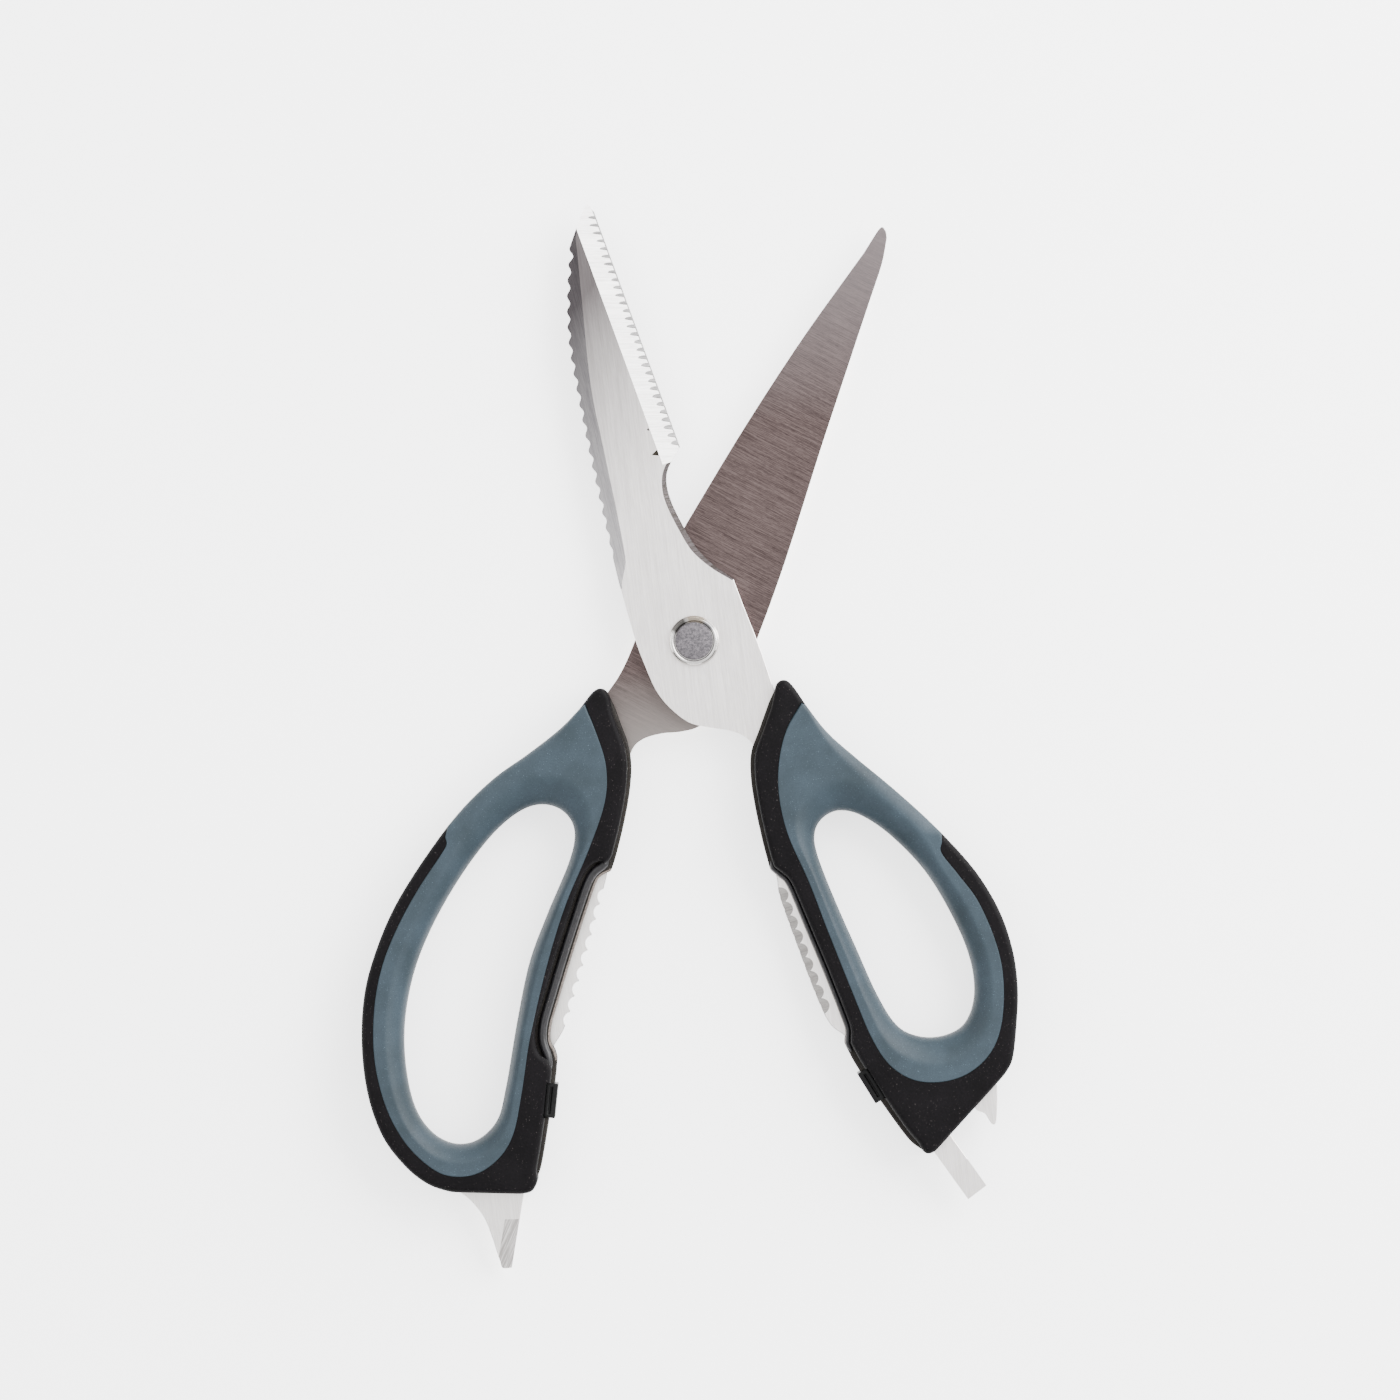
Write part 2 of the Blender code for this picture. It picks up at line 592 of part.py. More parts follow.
def front_blade():
    holes = [circle((0, 0), SLEEVE_RADIUS + RUNNING_CLEARANCE)]
    holes += [circle(p, POST_HOLE_RADIUS) for p in FRONT_POSTS]
    blade = plate(
        "front_blade", [front_plate_outline(), *holes], FRONT_PLATE_BOTTOM, FRONT_PLATE_TOP
    )
    low, high = (Vector(p) for p in FRONT_CUTTING_EDGE)
    along = (high - low).normalized()
    edge = [low - along * BEVEL_ROOT_OVERRUN, high + along * BEVEL_TIP_OVERRUN]
    widths = [CUTTING_BEVEL_WIDTH] * len(edge)
    depths = [PLATE_THICKNESS - EDGE_THICKNESS] * len(edge)
    cut(blade, bevel_cutter("cutting_bevel", edge, widths, depths, FRONT_PLATE_TOP, 1))
    spine = stations_along(FRONT_BACK_BEVEL, BEVEL_STATIONS)
    reach = [i / (len(spine) - 1) for i in range(len(spine))]
    ends = [min(t, 1 - t) for t in reach]
    fade = [min(1.0, SCALLOP_BEVEL_START + t / SCALLOP_BEVEL_RUN_IN) for t in ends]
    widths = [SCALLOP_BEVEL_WIDTH * f for f in fade]
    depths = [(PLATE_THICKNESS - SCALLOP_EDGE_THICKNESS) * f for f in fade]
    cut(blade, bevel_cutter("scallop_bevel", spine, widths, depths, FRONT_PLATE_TOP, 1))
    left, right = Vector(DRIVER_TAB[1]), Vector(DRIVER_TAB[2])
    back = (Vector(DRIVER_TAB[0]) - left).normalized() * DRIVER_TAPER_LENGTH / MM
    thinned = PLATE_THICKNESS - DRIVER_TIP_THICKNESS
    cut(
        blade,
        taper_cutter(
            "driver_taper", left + back, right + back, left, right, FRONT_PLATE_TOP, thinned, 1
        ),
    )
    return blade


def rear_blade():
    holes = [circle((0, 0), SLEEVE_RADIUS + CLEARANCE)]
    holes += [circle(p, POST_HOLE_RADIUS) for p in REAR_POSTS]
    blade = plate("rear_blade", [rear_plate_outline(), *holes], REAR_PLATE_BOTTOM, REAR_PLATE_TOP)
    edge = stations_along(REAR_CUTTING_EDGE, BEVEL_STATIONS)
    edge[0] += (edge[0] - edge[1]).normalized() * BEVEL_TIP_OVERRUN
    widths = [CUTTING_BEVEL_WIDTH] * len(edge)
    depths = [PLATE_THICKNESS - EDGE_THICKNESS] * len(edge)
    cut(blade, bevel_cutter("cutting_bevel", edge, widths, depths, REAR_PLATE_BOTTOM, -1))
    left, right = Vector(PRY_END[1]), Vector(PRY_END[2])
    back = (Vector(PRY_BACK[1]) - right).normalized() * PRY_TAPER_LENGTH / MM
    thinned = PLATE_THICKNESS - PRY_TIP_THICKNESS
    cut(
        blade,
        taper_cutter(
            "pry_taper", left + back, right + back, left, right, REAR_PLATE_TOP, thinned, 1
        ),
    )
    return blade


# Handles


def stop_block(name, side, length, width, start, depth):
    """A block beside the stop line, from a start distance to a depth behind it."""
    along = (STOP_LINE_END - STOP_LINE_START).normalized()
    middle = (STOP_LINE_START + STOP_LINE_END) / 2 * MM
    outward = Vector((-along.y, along.x)) * side
    centre = middle + outward * (start + depth) / 2
    bpy.ops.mesh.primitive_cube_add(size=1, location=(centre.x, centre.y, SHEAR_PLANE))
    block = bpy.context.object
    block.name = name
    block.scale = (length, depth - start, width)
    block.rotation_euler.z = math.atan2(along.y, along.x)
    bpy.context.view_layer.update()
    bake_place(block)
    return block


def stop_pad(name, side):
    pad = stop_block(name, side, PAD_LENGTH, PAD_WIDTH, CLEARANCE / 2, PAD_DEPTH)
    bevel = pad.modifiers.new("rounded", "BEVEL")
    bevel.width = PAD_EDGE_RADIUS
    bevel.segments = 2
    return pad


def core(name, silhouette, grip_prism, rib_loops, slot, heights, posts, pad_side):
    """The moulded core: the handle's body less the grip, with a rib that the grip locks onto."""
    bottom = SHEAR_PLANE - HANDLE_THICKNESS / 2
    top = SHEAR_PLANE + HANDLE_THICKNESS / 2
    body = plate(name, [silhouette], bottom, top, HANDLE_EDGE_RADIUS)
    cut(body, plate("grip_space", [grip_prism], bottom - MM, top + MM))
    rib_half = RIB_THICKNESS / 2
    join(body, plate("rib", rib_loops, SHEAR_PLANE - rib_half, SHEAR_PLANE + rib_half))
    loops = [slot, *(circle(p, POST_HOLE_RADIUS - CLEARANCE) for p in posts)]
    cut(body, plate("tang_slot", loops, heights[0] - CLEARANCE, heights[1] + CLEARANCE))
    length = PAD_LENGTH + 2 * CLEARANCE
    width = PAD_WIDTH + 2 * CLEARANCE
    cut(body, stop_block("pad_pocket", pad_side, length, width, -MM, PAD_DEPTH + CLEARANCE))
    return body


def grip_stations(edge, silhouette, hole, edge_first):
    """Outer points of the grip with how far each is a rounded rim, and their partners at the hole."""
    border = simplified(edge)
    rim = simplified(silhouette)
    order = [(p, 0.0) for p in border] + [(p, 1.0) for p in rim]
    if not edge_first:
        order = [(p, 1.0) for p in rim] + [(p, 0.0) for p in border]
    tidy = []
    for p, weight in order:
        if not tidy or (p - tidy[-1][0]).length > GRIP_STATION_MIN:
            tidy.append((p, weight))
    if (tidy[0][0] - tidy[-1][0]).length < GRIP_STATION_MIN:
        tidy.pop()
    split = []
    for (p, weight), (q, following) in zip(tidy, tidy[1:] + tidy[:1]):
        pieces = math.ceil((q - p).length / GRIP_STATION_MAX)
        for k in range(pieces):
            mixed = weight if k == 0 else min(weight, following)
            split.append((p.lerp(q, k / pieces), mixed))
    outer = grown([p for p, _ in split], -CLEARANCE / MM)
    outer = [q if w == 0.0 else p for q, (p, w) in zip(outer, split)]
    nearest = []
    count = len(hole)
    for p, _ in split:
        i = min(range(count), key=lambda k: (hole[k] - p).length)
        if nearest:
            while i < nearest[-1] - count / 2:
                i += count
        nearest.append(i)
    total = len(split)
    steady = [nearest[0] + count * k / total for k in range(total)]
    partners = []
    for k in range(total):
        spot = nearest[k] + (steady[k] - nearest[k]) * GRIP_EVENING
        base = math.floor(spot)
        partners.append(hole[base % count].lerp(hole[(base + 1) % count], spot - base))
    return outer, [w for _, w in split], partners


def grip_section(outer, weight, inner):
    """Half the grip's section from the hole outwards: distances and half heights."""
    half = HANDLE_THICKNESS / 2
    rim = GRIP_RIM_THICKNESS / 2
    width = (outer - inner).length * MM
    scoop = min(GRIP_SCOOP_WIDTH, 0.8 * width)
    rounding = max(GRIP_CREASE, HANDLE_EDGE_RADIUS * weight)
    shoulder = rounding * ROUND_SHARE
    profile = [
        (0.0, rim - GRIP_RIM_ROUND),
        (GRIP_RIM_ROUND * ROUND_SHARE, rim - GRIP_RIM_ROUND * ROUND_SHARE),
    ]
    for share in SCOOP_SHARES:
        rise = 0.5 - 0.5 * math.cos(math.pi * share)
        profile.append((scoop * share, rim + (half - rim) * rise))
    crown = max(scoop, width - rounding)
    profile.append((min(crown, width - GRIP_LEDGE), half))
    profile.append((width - shoulder * min(1.0, weight + 0.2), half - shoulder * weight))
    profile.append((width, half - rounding * weight))
    return profile


def grip(name, stations, rib_loops):
    """The soft grip: a ring round the finger hole, scooped towards it, with a groove for the rib."""
    sections = []
    for outer, weight, inner in zip(*stations):
        along = (outer - inner).normalized()
        profile = grip_section(outer, weight, inner)
        points = [(inner * MM + along * d, h) for d, h in profile]
        upper = [(p.x, p.y, SHEAR_PLANE + h) for p, h in points]
        lower = [(p.x, p.y, SHEAR_PLANE - h) for p, h in reversed(points)]
        sections.append(upper + lower)
    ring = loft(name, sections, ring=True)
    spread = RIB_THICKNESS / 2 + CLEARANCE
    cut(ring, plate("rib_groove", rib_loops, SHEAR_PLANE - spread, SHEAR_PLANE + spread))
    return ring


def rib_outlines(silhouette, hole, clearance):
    """The rib's rim and its opening round the finger hole."""
    rim = grown(silhouette, -(RIB_WALL - clearance) / MM)
    opening = grown(simplified(hole + hole[:1])[:-1], (RIB_TO_HOLE - clearance) / MM)
    return [rim, opening]


def front_handle():
    silhouette = front_handle_outline()
    edge = spline(FRONT_GRIP_EDGE)
    outside = between(spline(FRONT_HANDLE_OUTER), FRONT_STRIP_TOP, FRONT_HANDLE_OUTER[-1])
    hole = closed_spline(FRONT_HOLE)
    prism = simplified(edge) + [p + FRONT_GRIP_SIDE for p in simplified(outside)]
    rib = rib_outlines(silhouette, hole, 0.0)
    slot = grown(front_plate_outline(teeth=False), CLEARANCE / MM)
    heights = (FRONT_PLATE_BOTTOM, FRONT_PLATE_TOP)
    shell = core("front_core", silhouette, prism, rib, slot, heights, FRONT_POSTS, 1)
    stations = grip_stations(edge, outside, hole, True)
    soft = grip("front_grip", stations, rib_outlines(silhouette, hole, CLEARANCE))
    return [shell, soft, stop_pad("front_stop_pad", 1)]


def rear_handle():
    silhouette = rear_handle_outline()
    edge = spline(REAR_GRIP_EDGE)
    outside = between(spline(REAR_HANDLE_OUTER), REAR_HANDLE_OUTER[0], REAR_STRIP_TOP)
    hole = closed_spline(REAR_HOLE)
    prism = [p + REAR_GRIP_SIDE for p in simplified(outside)] + simplified(edge)
    rib = rib_outlines(silhouette, hole, 0.0)
    slot = grown(rear_plate_outline(teeth=False), CLEARANCE / MM)
    heights = (REAR_PLATE_BOTTOM, REAR_PLATE_TOP)
    shell = core("rear_core", silhouette, prism, rib, slot, heights, REAR_POSTS, -1)
    stations = grip_stations(edge, outside, hole, False)
    soft = grip("rear_grip", stations, rib_outlines(silhouette, hole, CLEARANCE))
    return [shell, soft, stop_pad("rear_stop_pad", -1)]


# Pivot


def pivot_sleeve():
    """A head at the back and a tube through both plates, threaded inside for the bolt."""
    top = FRONT_PLATE_TOP + CLEARANCE + CUP_FLOOR
    floor = top - BOLT_LENGTH - CLEARANCE
    bore = BOLT_RADIUS + CLEARANCE
    return turned(
        "pivot_sleeve",
        [
            (0.0, floor), (bore, floor), (bore, top), (SLEEVE_RADIUS, top),
            (SLEEVE_RADIUS, SLEEVE_HEAD_HEIGHT), (SLEEVE_HEAD_RADIUS, SLEEVE_HEAD_HEIGHT),
            (SLEEVE_HEAD_RADIUS, PIVOT_CHAMFER), (SLEEVE_HEAD_RADIUS - PIVOT_CHAMFER, 0.0), (0.0, 0.0),
        ],
    )


def pivot_washer():
    bottom = SLEEVE_HEAD_HEIGHT + CLEARANCE
    top = bottom + WASHER_THICKNESS
    bore = SLEEVE_RADIUS + CLEARANCE
    profile = [(WASHER_RADIUS, top), (WASHER_RADIUS, bottom), (bore, bottom), (bore, top)]
    return turned("pivot_washer", profile)


def pivot_cup():
    """The polished ring on the front plate, with a floor that the bolt's head holds down."""
    bottom = FRONT_PLATE_TOP + CLEARANCE
    top = bottom + CUP_HEIGHT
    floor = bottom + CUP_FLOOR
    bore = SLEEVE_RADIUS + CLEARANCE
    well = BOLT_HEAD_RADIUS + CLEARANCE
    return turned(
        "pivot_cup",
        [
            (CUP_RADIUS - PIVOT_CHAMFER, top), (CUP_RADIUS, top - PIVOT_CHAMFER), (CUP_RADIUS, bottom),
            (bore, bottom), (bore, floor), (well, floor), (well, top),
        ],
    )


def pivot_bolt():
    head_bottom = FRONT_PLATE_TOP + CLEARANCE + CUP_FLOOR + CLEARANCE
    head_top = head_bottom + BOLT_HEAD_HEIGHT
    shank_end = FRONT_PLATE_TOP + CLEARANCE + CUP_FLOOR - BOLT_LENGTH
    return turned(
        "pivot_bolt",
        [
            (0.0, head_top), (BOLT_HEAD_RADIUS - PIVOT_CHAMFER, head_top),
            (BOLT_HEAD_RADIUS, head_top - PIVOT_CHAMFER), (BOLT_HEAD_RADIUS, head_bottom),
            (BOLT_RADIUS, head_bottom), (BOLT_RADIUS, shank_end), (0.0, shank_end),
        ],
    )


# Assembly


def material(name):
    color, roughness, metallic = COLORS[name]
    made = bpy.data.materials.get(name) or bpy.data.materials.new(name)
    made.use_nodes = True
    shader = made.node_tree.nodes["Principled BSDF"]
    shader.inputs["Base Color"].default_value = color
    shader.inputs["Roughness"].default_value = roughness
    shader.inputs["Metallic"].default_value = metallic
    made.diffuse_color = color
    return made


def place(item, half, material_name, collection):
    """Hangs a piece on its half and gives it its material."""
    item.data.materials.clear()
    item.data.materials.append(material(material_name))
    item.data.shade_smooth()
    item.data.set_sharp_from_angle(angle=math.radians(35))
    item.parent = half
    for owner in list(item.users_collection):
        owner.objects.unlink(item)
    collection.objects.link(item)


def half_frame(name, turn_deg, collection):
    """An empty on the pivot's axis that turns one half from closed."""
    frame = bpy.data.objects.new(name, None)
    frame.rotation_euler.z = math.radians(turn_deg)
    collection.objects.link(frame)
    return frame


def main():
    for item in list(bpy.data.objects):
        bpy.data.objects.remove(item)
    collection = bpy.data.collections.new("utility_shears")
    bpy.context.scene.collection.children.link(collection)
    front = half_frame("front_half", FRONT_TURN_DEG, collection)
    rear = half_frame("rear_half", REAR_TURN_DEG, collection)
    place(front_blade(), front, "blade_steel", collection)
    place(rear_blade(), rear, "blade_steel", collection)
    for half, pieces in ((front, front_handle()), (rear, rear_handle())):
        for piece, finish in zip(pieces, ("core_black", "grip_blue_grey", "pad_black")):
            place(piece, half, finish, collection)
    place(pivot_sleeve(), rear, "pivot_steel", collection)
    place(pivot_washer(), rear, "washer_nylon", collection)
    place(pivot_cup(), rear, "pivot_steel", collection)
    place(pivot_bolt(), rear, "pivot_steel", collection)


main()
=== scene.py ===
"""Looks of the utility shears: ground and brushed steel, moulded black cores, soft blue-grey grips.

Metres, +Z up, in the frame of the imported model: the pivot's axis is at 0, 0.
Outlines are in millimetres, in the frame of the closed shears, and each half is turned to rest.
"""

import math

import bmesh
import bpy
from mathutils import Matrix, Vector


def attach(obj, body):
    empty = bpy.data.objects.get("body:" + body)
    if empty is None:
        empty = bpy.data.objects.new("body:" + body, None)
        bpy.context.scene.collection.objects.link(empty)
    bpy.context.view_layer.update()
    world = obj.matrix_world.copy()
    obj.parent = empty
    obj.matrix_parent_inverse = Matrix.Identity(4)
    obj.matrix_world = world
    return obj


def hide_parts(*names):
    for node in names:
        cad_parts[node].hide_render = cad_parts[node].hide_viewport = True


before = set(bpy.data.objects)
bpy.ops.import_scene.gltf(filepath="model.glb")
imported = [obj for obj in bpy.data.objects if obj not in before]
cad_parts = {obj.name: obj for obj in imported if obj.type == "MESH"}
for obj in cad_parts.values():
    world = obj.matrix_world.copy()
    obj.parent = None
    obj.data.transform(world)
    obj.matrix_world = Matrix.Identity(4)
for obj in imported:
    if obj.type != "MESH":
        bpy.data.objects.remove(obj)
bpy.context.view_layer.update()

MM = 0.001

# Pose in which the halves lie, turned from closed
FRONT_TURN = math.radians(14.0)
REAR_TURN = math.radians(-23.5)

# Heights of the steel plates and the handles
PLATE_THICKNESS = 2.5 * MM
REAR_PLATE_BOTTOM = 2.3 * MM
REAR_PLATE_TOP = REAR_PLATE_BOTTOM + PLATE_THICKNESS
SHEAR_PLANE = 4.95 * MM
FRONT_PLATE_BOTTOM = 5.1 * MM
FRONT_PLATE_TOP = FRONT_PLATE_BOTTOM + PLATE_THICKNESS
HANDLE_HALF = 6.2 * MM

# Ground edges of the blades
EDGE_THICKNESS = 0.4 * MM
EDGE_BREAK = 0.1 * MM
CUTTING_BEVEL_WIDTH = 4.7 * MM
SCALLOP_EDGE_THICKNESS = 0.8 * MM
SCALLOP_COUNT = 20
SCALLOP_DEPTH = 0.65
NOTCH_BEVEL_WIDTH = 1.2 * MM
NOTCH_BEVEL_DEPTH = 1.5 * MM
GRIND_LEAD = 0.3 * MM
GRIND_OVERRUN = 1.2 * MM
BEVEL_STATIONS = 60

# How far a cutting bevel's cutter runs past its edge, and the facet widths, in millimetres
BEVEL_LEAD = 2.4
BEVEL_RUN_OUT = 8.0
LEAST_FACET = 0.35
FULL_FACET = 2.2

# Notches, marks and teeth
SERRATION_COUNT = 30
SERRATION_PITCH = 1.74 * MM
SERRATION_START = 0.5 * MM
SERRATION_LENGTH = 2.1 * MM
SERRATION_DEPTH = 0.27 * MM
SERRATION_WALL = 0.85
SERRATION_RAMP = 2.9
SERRATION_NARROWING = 0.4
SERRATION_LIFT = 0.3 * MM
SERRATION_OVERRUN = 0.5 * MM
SERRATION_TIP_RISE = 0.01 * MM
SERRATION_HOLLOW = 0.42
SERRATION_SECTIONS = 10
EDGE_LINE_WIDTH = 0.24 * MM
EDGE_LINE_DEPTH = 0.3 * MM
EDGE_LINE_RISE = 0.08 * MM
NICK_DEPTH = 0.35 * MM
TOOTH_COUNT = 9
TOOTH_RADIUS = 1.78 * MM
TOOTH_CUTTER = 9 * MM
FRONT_TOOTH_START = 1.6 * MM
REAR_TOOTH_START = 2.4 * MM
FRONT_TOOTH_PITCH = 3.1 * MM
REAR_TOOTH_PITCH = 3.35 * MM
FRONT_TOOTH_DEPTH = 1.9 * MM
REAR_TOOTH_DEPTH = 0.85 * MM
FRONT_TOOTH_TILT = math.radians(36.0)
REAR_TOOTH_TILT = math.radians(-14.0)
DRIVER_TAPER_LENGTH = 7.0
DRIVER_TAPER_DEPTH = 1.6 * MM
PRY_TAPER_LENGTH = 10.5
PRY_TAPER_DEPTH = 1.7 * MM

# Bores for the sleeve, in millimetres, and seams between pieces
FRONT_BORE = 3.3
REAR_BORE = 3.5
SEAM = 0.12 * MM
GRIP_SEAM = 0.004

# Handles: a high body, and a lower lip and bead along the inner side
BODY_EDGE_RADIUS = 1.2 * MM
GRIP_EDGE_WIDTH = 3.2
GRIP_EDGE_DROP = 2.0
LIP_HALF = 3.3 * MM
LIP_EDGE_RADIUS = 0.45 * MM
BEAD_RISE = 0.15 * MM
HOLE_STATIONS = 420

# Half height of the grip at the finger hole, and the rounding there, in millimetres
GRIP_RIM = 2.85
GRIP_RIM_RADIUS = 1.25

# The scoop's width as a share of the grip's, held to a largest, in millimetres
SCOOP_SHARE = 0.62
SCOOP_WIDEST = 6.6

# Half height of the grip's outermost row, and how far its room runs past the core's side
GRIP_SIDE_HALF = 3.0
GRIP_OVERLAP = 1.2

# Rubber pads, and their pockets in the cores
PAD_LENGTH = 7.3 * MM
PAD_HEIGHT = 7.6 * MM
PAD_GAP = 0.15 * MM
PAD_DEPTH = 2.6 * MM
PAD_EDGE_RADIUS = 0.42 * MM
CHANNEL_LENGTH = 5.6 * MM
CHANNEL_HEIGHT = 0.9 * MM
CHANNEL_NEAR = 1.25 * MM
CHANNEL_FAR = 1.75 * MM
POCKET_LENGTH = 7.33 * MM
POCKET_DEPTH = 2.61 * MM

# The ring's and the bolt head's seats over the front plate
CUP_GAP = 0.1 * MM
BOLT_GAP = 0.4 * MM

# How closely a drawn curve is followed, in millimetres
CURVE_STEP = 0.25
CURVE_TOLERANCE = 0.012

# Angles in degrees from which an edge is drawn sharp
SHARP_STEEL = 12
SHARP_CORE = 32
SHARP_SOFT = 40
SHARP_TURNED = 50

# Slack when faces are picked by their height, and where the beads lie over the lip
HAIR = 0.02 * MM
BEAD_FOOT = 0.03 * MM
BEAD_TOP = 1.3 * MM


# Curves in the plane, in millimetres


def spline(points):
    """A smooth curve through the points, sampled closely."""
    if len(points) == 2:
        return [Vector(p) for p in points]
    knots = [Vector(p) for p in points]
    knots = [knots[0] * 2 - knots[1], *knots, knots[-1] * 2 - knots[-2]]
    samples = []
    for a, b, c, d in zip(knots, knots[1:], knots[2:], knots[3:]):
        steps = max(2, math.ceil((c - b).length / CURVE_STEP))
        for i in range(steps):
            t = i / steps
            bend = (c - a) * t + (2 * a - 5 * b + 4 * c - d) * t**2 + (3 * b - a - 3 * c + d) * t**3
            samples.append(b + bend * 0.5)
    samples.append(knots[-2])
    return samples


def closed_spline(points):
    """A smooth closed curve through the points."""
    count = len(points)
    samples = spline([points[i % count] for i in range(-2, count + 3)])
    start = Vector(points[0])
    first = min(range(len(samples) // 2), key=lambda i: (samples[i] - start).length)
    last = min(range(len(samples) // 2, len(samples)), key=lambda i: (samples[i] - start).length)
    return samples[first:last]


def simplified(samples, tolerance=CURVE_TOLERANCE):
    """The curve with only the points that keep it within the tolerance."""
    keep = [0, len(samples) - 1]
    spans = [(0, len(samples) - 1)]
    while spans:
        low, high = spans.pop()
        start = samples[low]
        chord = samples[high] - start
        length = chord.length or 1e-9
        gaps = [
            abs(chord.x * (p.y - start.y) - chord.y * (p.x - start.x)) / length
            for p in samples[low + 1 : high]
        ]
        if gaps and max(gaps) > tolerance:
            worst = low + 1 + gaps.index(max(gaps))
            keep.append(worst)
            spans += [(low, worst), (worst, high)]
    return [samples[i] for i in sorted(keep)]


def distances(samples):
    """Length along the curve at each of its points."""
    reach = [0.0]
    for a, b in zip(samples, samples[1:]):
        reach.append(reach[-1] + (b - a).length)
    return reach


def at_distance(samples, reach, wanted):
    """The point and the direction at a length along the curve."""
    i = 0
    while i < len(samples) - 2 and reach[i + 1] < wanted:
        i += 1
    share = (wanted - reach[i]) / max(1e-9, reach[i + 1] - reach[i])
    return samples[i].lerp(samples[i + 1], share), (samples[i + 1] - samples[i]).normalized()


def evenly(samples, count):
    """Points at equal lengths along the curve."""
    reach = distances(samples)
    return [at_distance(samples, reach, reach[-1] * k / (count - 1))[0] for k in range(count)]


def left_of(direction):
    return Vector((-direction.y, direction.x))


def grown(points, distance):
    """The counter-clockwise outline moved outwards by the distance in millimetres."""
    moved = []
    count = len(points)
    for i, p in enumerate(points):
        normal_in = -left_of((p - points[i - 1]).normalized())
        normal_out = -left_of((points[(i + 1) % count] - p).normalized())
        middle = (normal_in + normal_out).normalized()
        moved.append(p + middle * distance / max(0.5, middle.dot(normal_in)))
    return moved


def scalloped(run, count, depth):
    """Wavy hollows along a curve, sunk to the left of its direction: the first deep, the last faint."""
    samples = spline(run)
    reach = distances(samples)
    points = []
    steps = 14
    for k in range(count * steps + 1):
        p, along = at_distance(samples, reach, reach[-1] * k / (count * steps))
        turn = math.pi * (k % steps) / steps
        fading = depth * min(1.0, 0.45 + 0.16 * (count - k / steps)) * (1.4 if k < steps else 1.0)
        hollow = fading * math.sin(turn) ** 2
        points.append(p + left_of(along) * hollow)
    return points


def drawn(*stretches):
    """One closed outline from runs of control points and ready-made lists of points."""
    points = []
    for stretch in stretches:
        ready = stretch if isinstance(stretch[0], Vector) else simplified(spline(stretch))
        for p in ready:
            if not points or (p - points[-1]).length > 0.01:
                points.append(p)
    if (points[0] - points[-1]).length < 0.01:
        points.pop()
    return points


def circle(centre, radius, sides=64):
    """A round outline in millimetres, for a hole in a plate."""
    turns = [2 * math.pi * i / sides for i in range(sides)]
    return [Vector((centre[0] + radius * math.cos(a), centre[1] + radius * math.sin(a))) for a in turns]


# Outlines of the closed shears, in millimetres

FRONT_BLADE_TIP = [(1.42, 92.49), (0.09, 94.1), (-3.3, 89.5)]
FRONT_BACK_BEVEL = [
    (-3.3, 89.5), (-5.5, 86.0), (-8.4, 76.6), (-10.4, 67.2), (-11.2, 57.2), (-11.8, 45.0),
    (-12.2, 31.0), (-12.3, 14.3),
]
FRONT_BEVEL_LINE = [
    (-3.3, 89.5), (-5.5, 75.0), (-8.0, 57.5), (-8.6, 45.0), (-9.1, 31.0), (-9.6, 22.0),
    (-10.1, 18.5), (-12.3, 14.3),
]
FRONT_TIP_BACK = [(-3.3, 89.5), (-5.5, 86.2)]
FRONT_SCALLOP_LINE = [
    (-5.5, 86.2), (-8.4, 76.6), (-10.4, 67.2), (-11.2, 57.2), (-11.8, 45.0), (-12.2, 31.0),
    (-12.3, 20.8),
]
FRONT_HEEL_LEFT = [
    (-12.3, 20.8), (-12.3, 14.3), (-11.9, 3.6), (-11.1, -3.5), (-10.1, -8.6), (-8.0, -12.9), (-4.9, -16.5),
    (-0.5, -18.7), (3.0, -20.2), (5.6, -22.2), (6.7, -24.8), (5.8, -29.5), (5.1, -35.5),
    (4.9, -43.0), (4.9, -50.5),
]
FRONT_TEETH_LINE = [(4.8, -53.0), (4.5, -56.5), (5.3, -65.0), (6.8, -78.0), (8.2, -84.6), (10.4, -87.6)]
FRONT_TANG_END = [(10.4, -87.6), (13.0, -91.5), (15.4, -97.0), (18.0, -104.0), (22.9, -116.1)]
DRIVER_TAB = [(22.9, -116.1), (27.5, -127.6), (31.9, -125.7), (27.1, -113.5)]
HOOK = [
    (28.3, -111.2), (32.6, -108.3), (33.8, -109.9), (35.2, -110.9), (35.9, -113.0),
    (36.6, -113.6), (37.3, -112.6), (38.4, -108.9), (39.2, -105.6),
]
FRONT_TANG_RIGHT = [
    (39.2, -105.6), (37.0, -103.6), (32.5, -103.9), (28.0, -104.0), (24.0, -102.9),
    (20.2, -100.8), (17.0, -97.3), (15.3, -92.8), (14.2, -87.4), (12.2, -76.3), (10.4, -62.4),
    (9.5, -55.0), (8.4, -48.5), (8.1, -43.0), (8.2, -38.0), (9.0, -32.5), (10.9, -27.0),
    (13.1, -22.3), (13.9, -17.5), (13.5, -10.0), (12.9, -3.5), (11.9, 4.0), (11.15, 10.6),
]
FRONT_NOTCH = [
    (11.15, 10.6), (7.8, 14.5), (5.2, 18.9), (3.6, 24.1), (2.5, 29.2), (2.4, 33.2),
    (3.5, 36.4), (7.0, 40.3),
]
FRONT_CUTTING_EDGE = [(7.0, 40.3), (1.42, 92.49)]

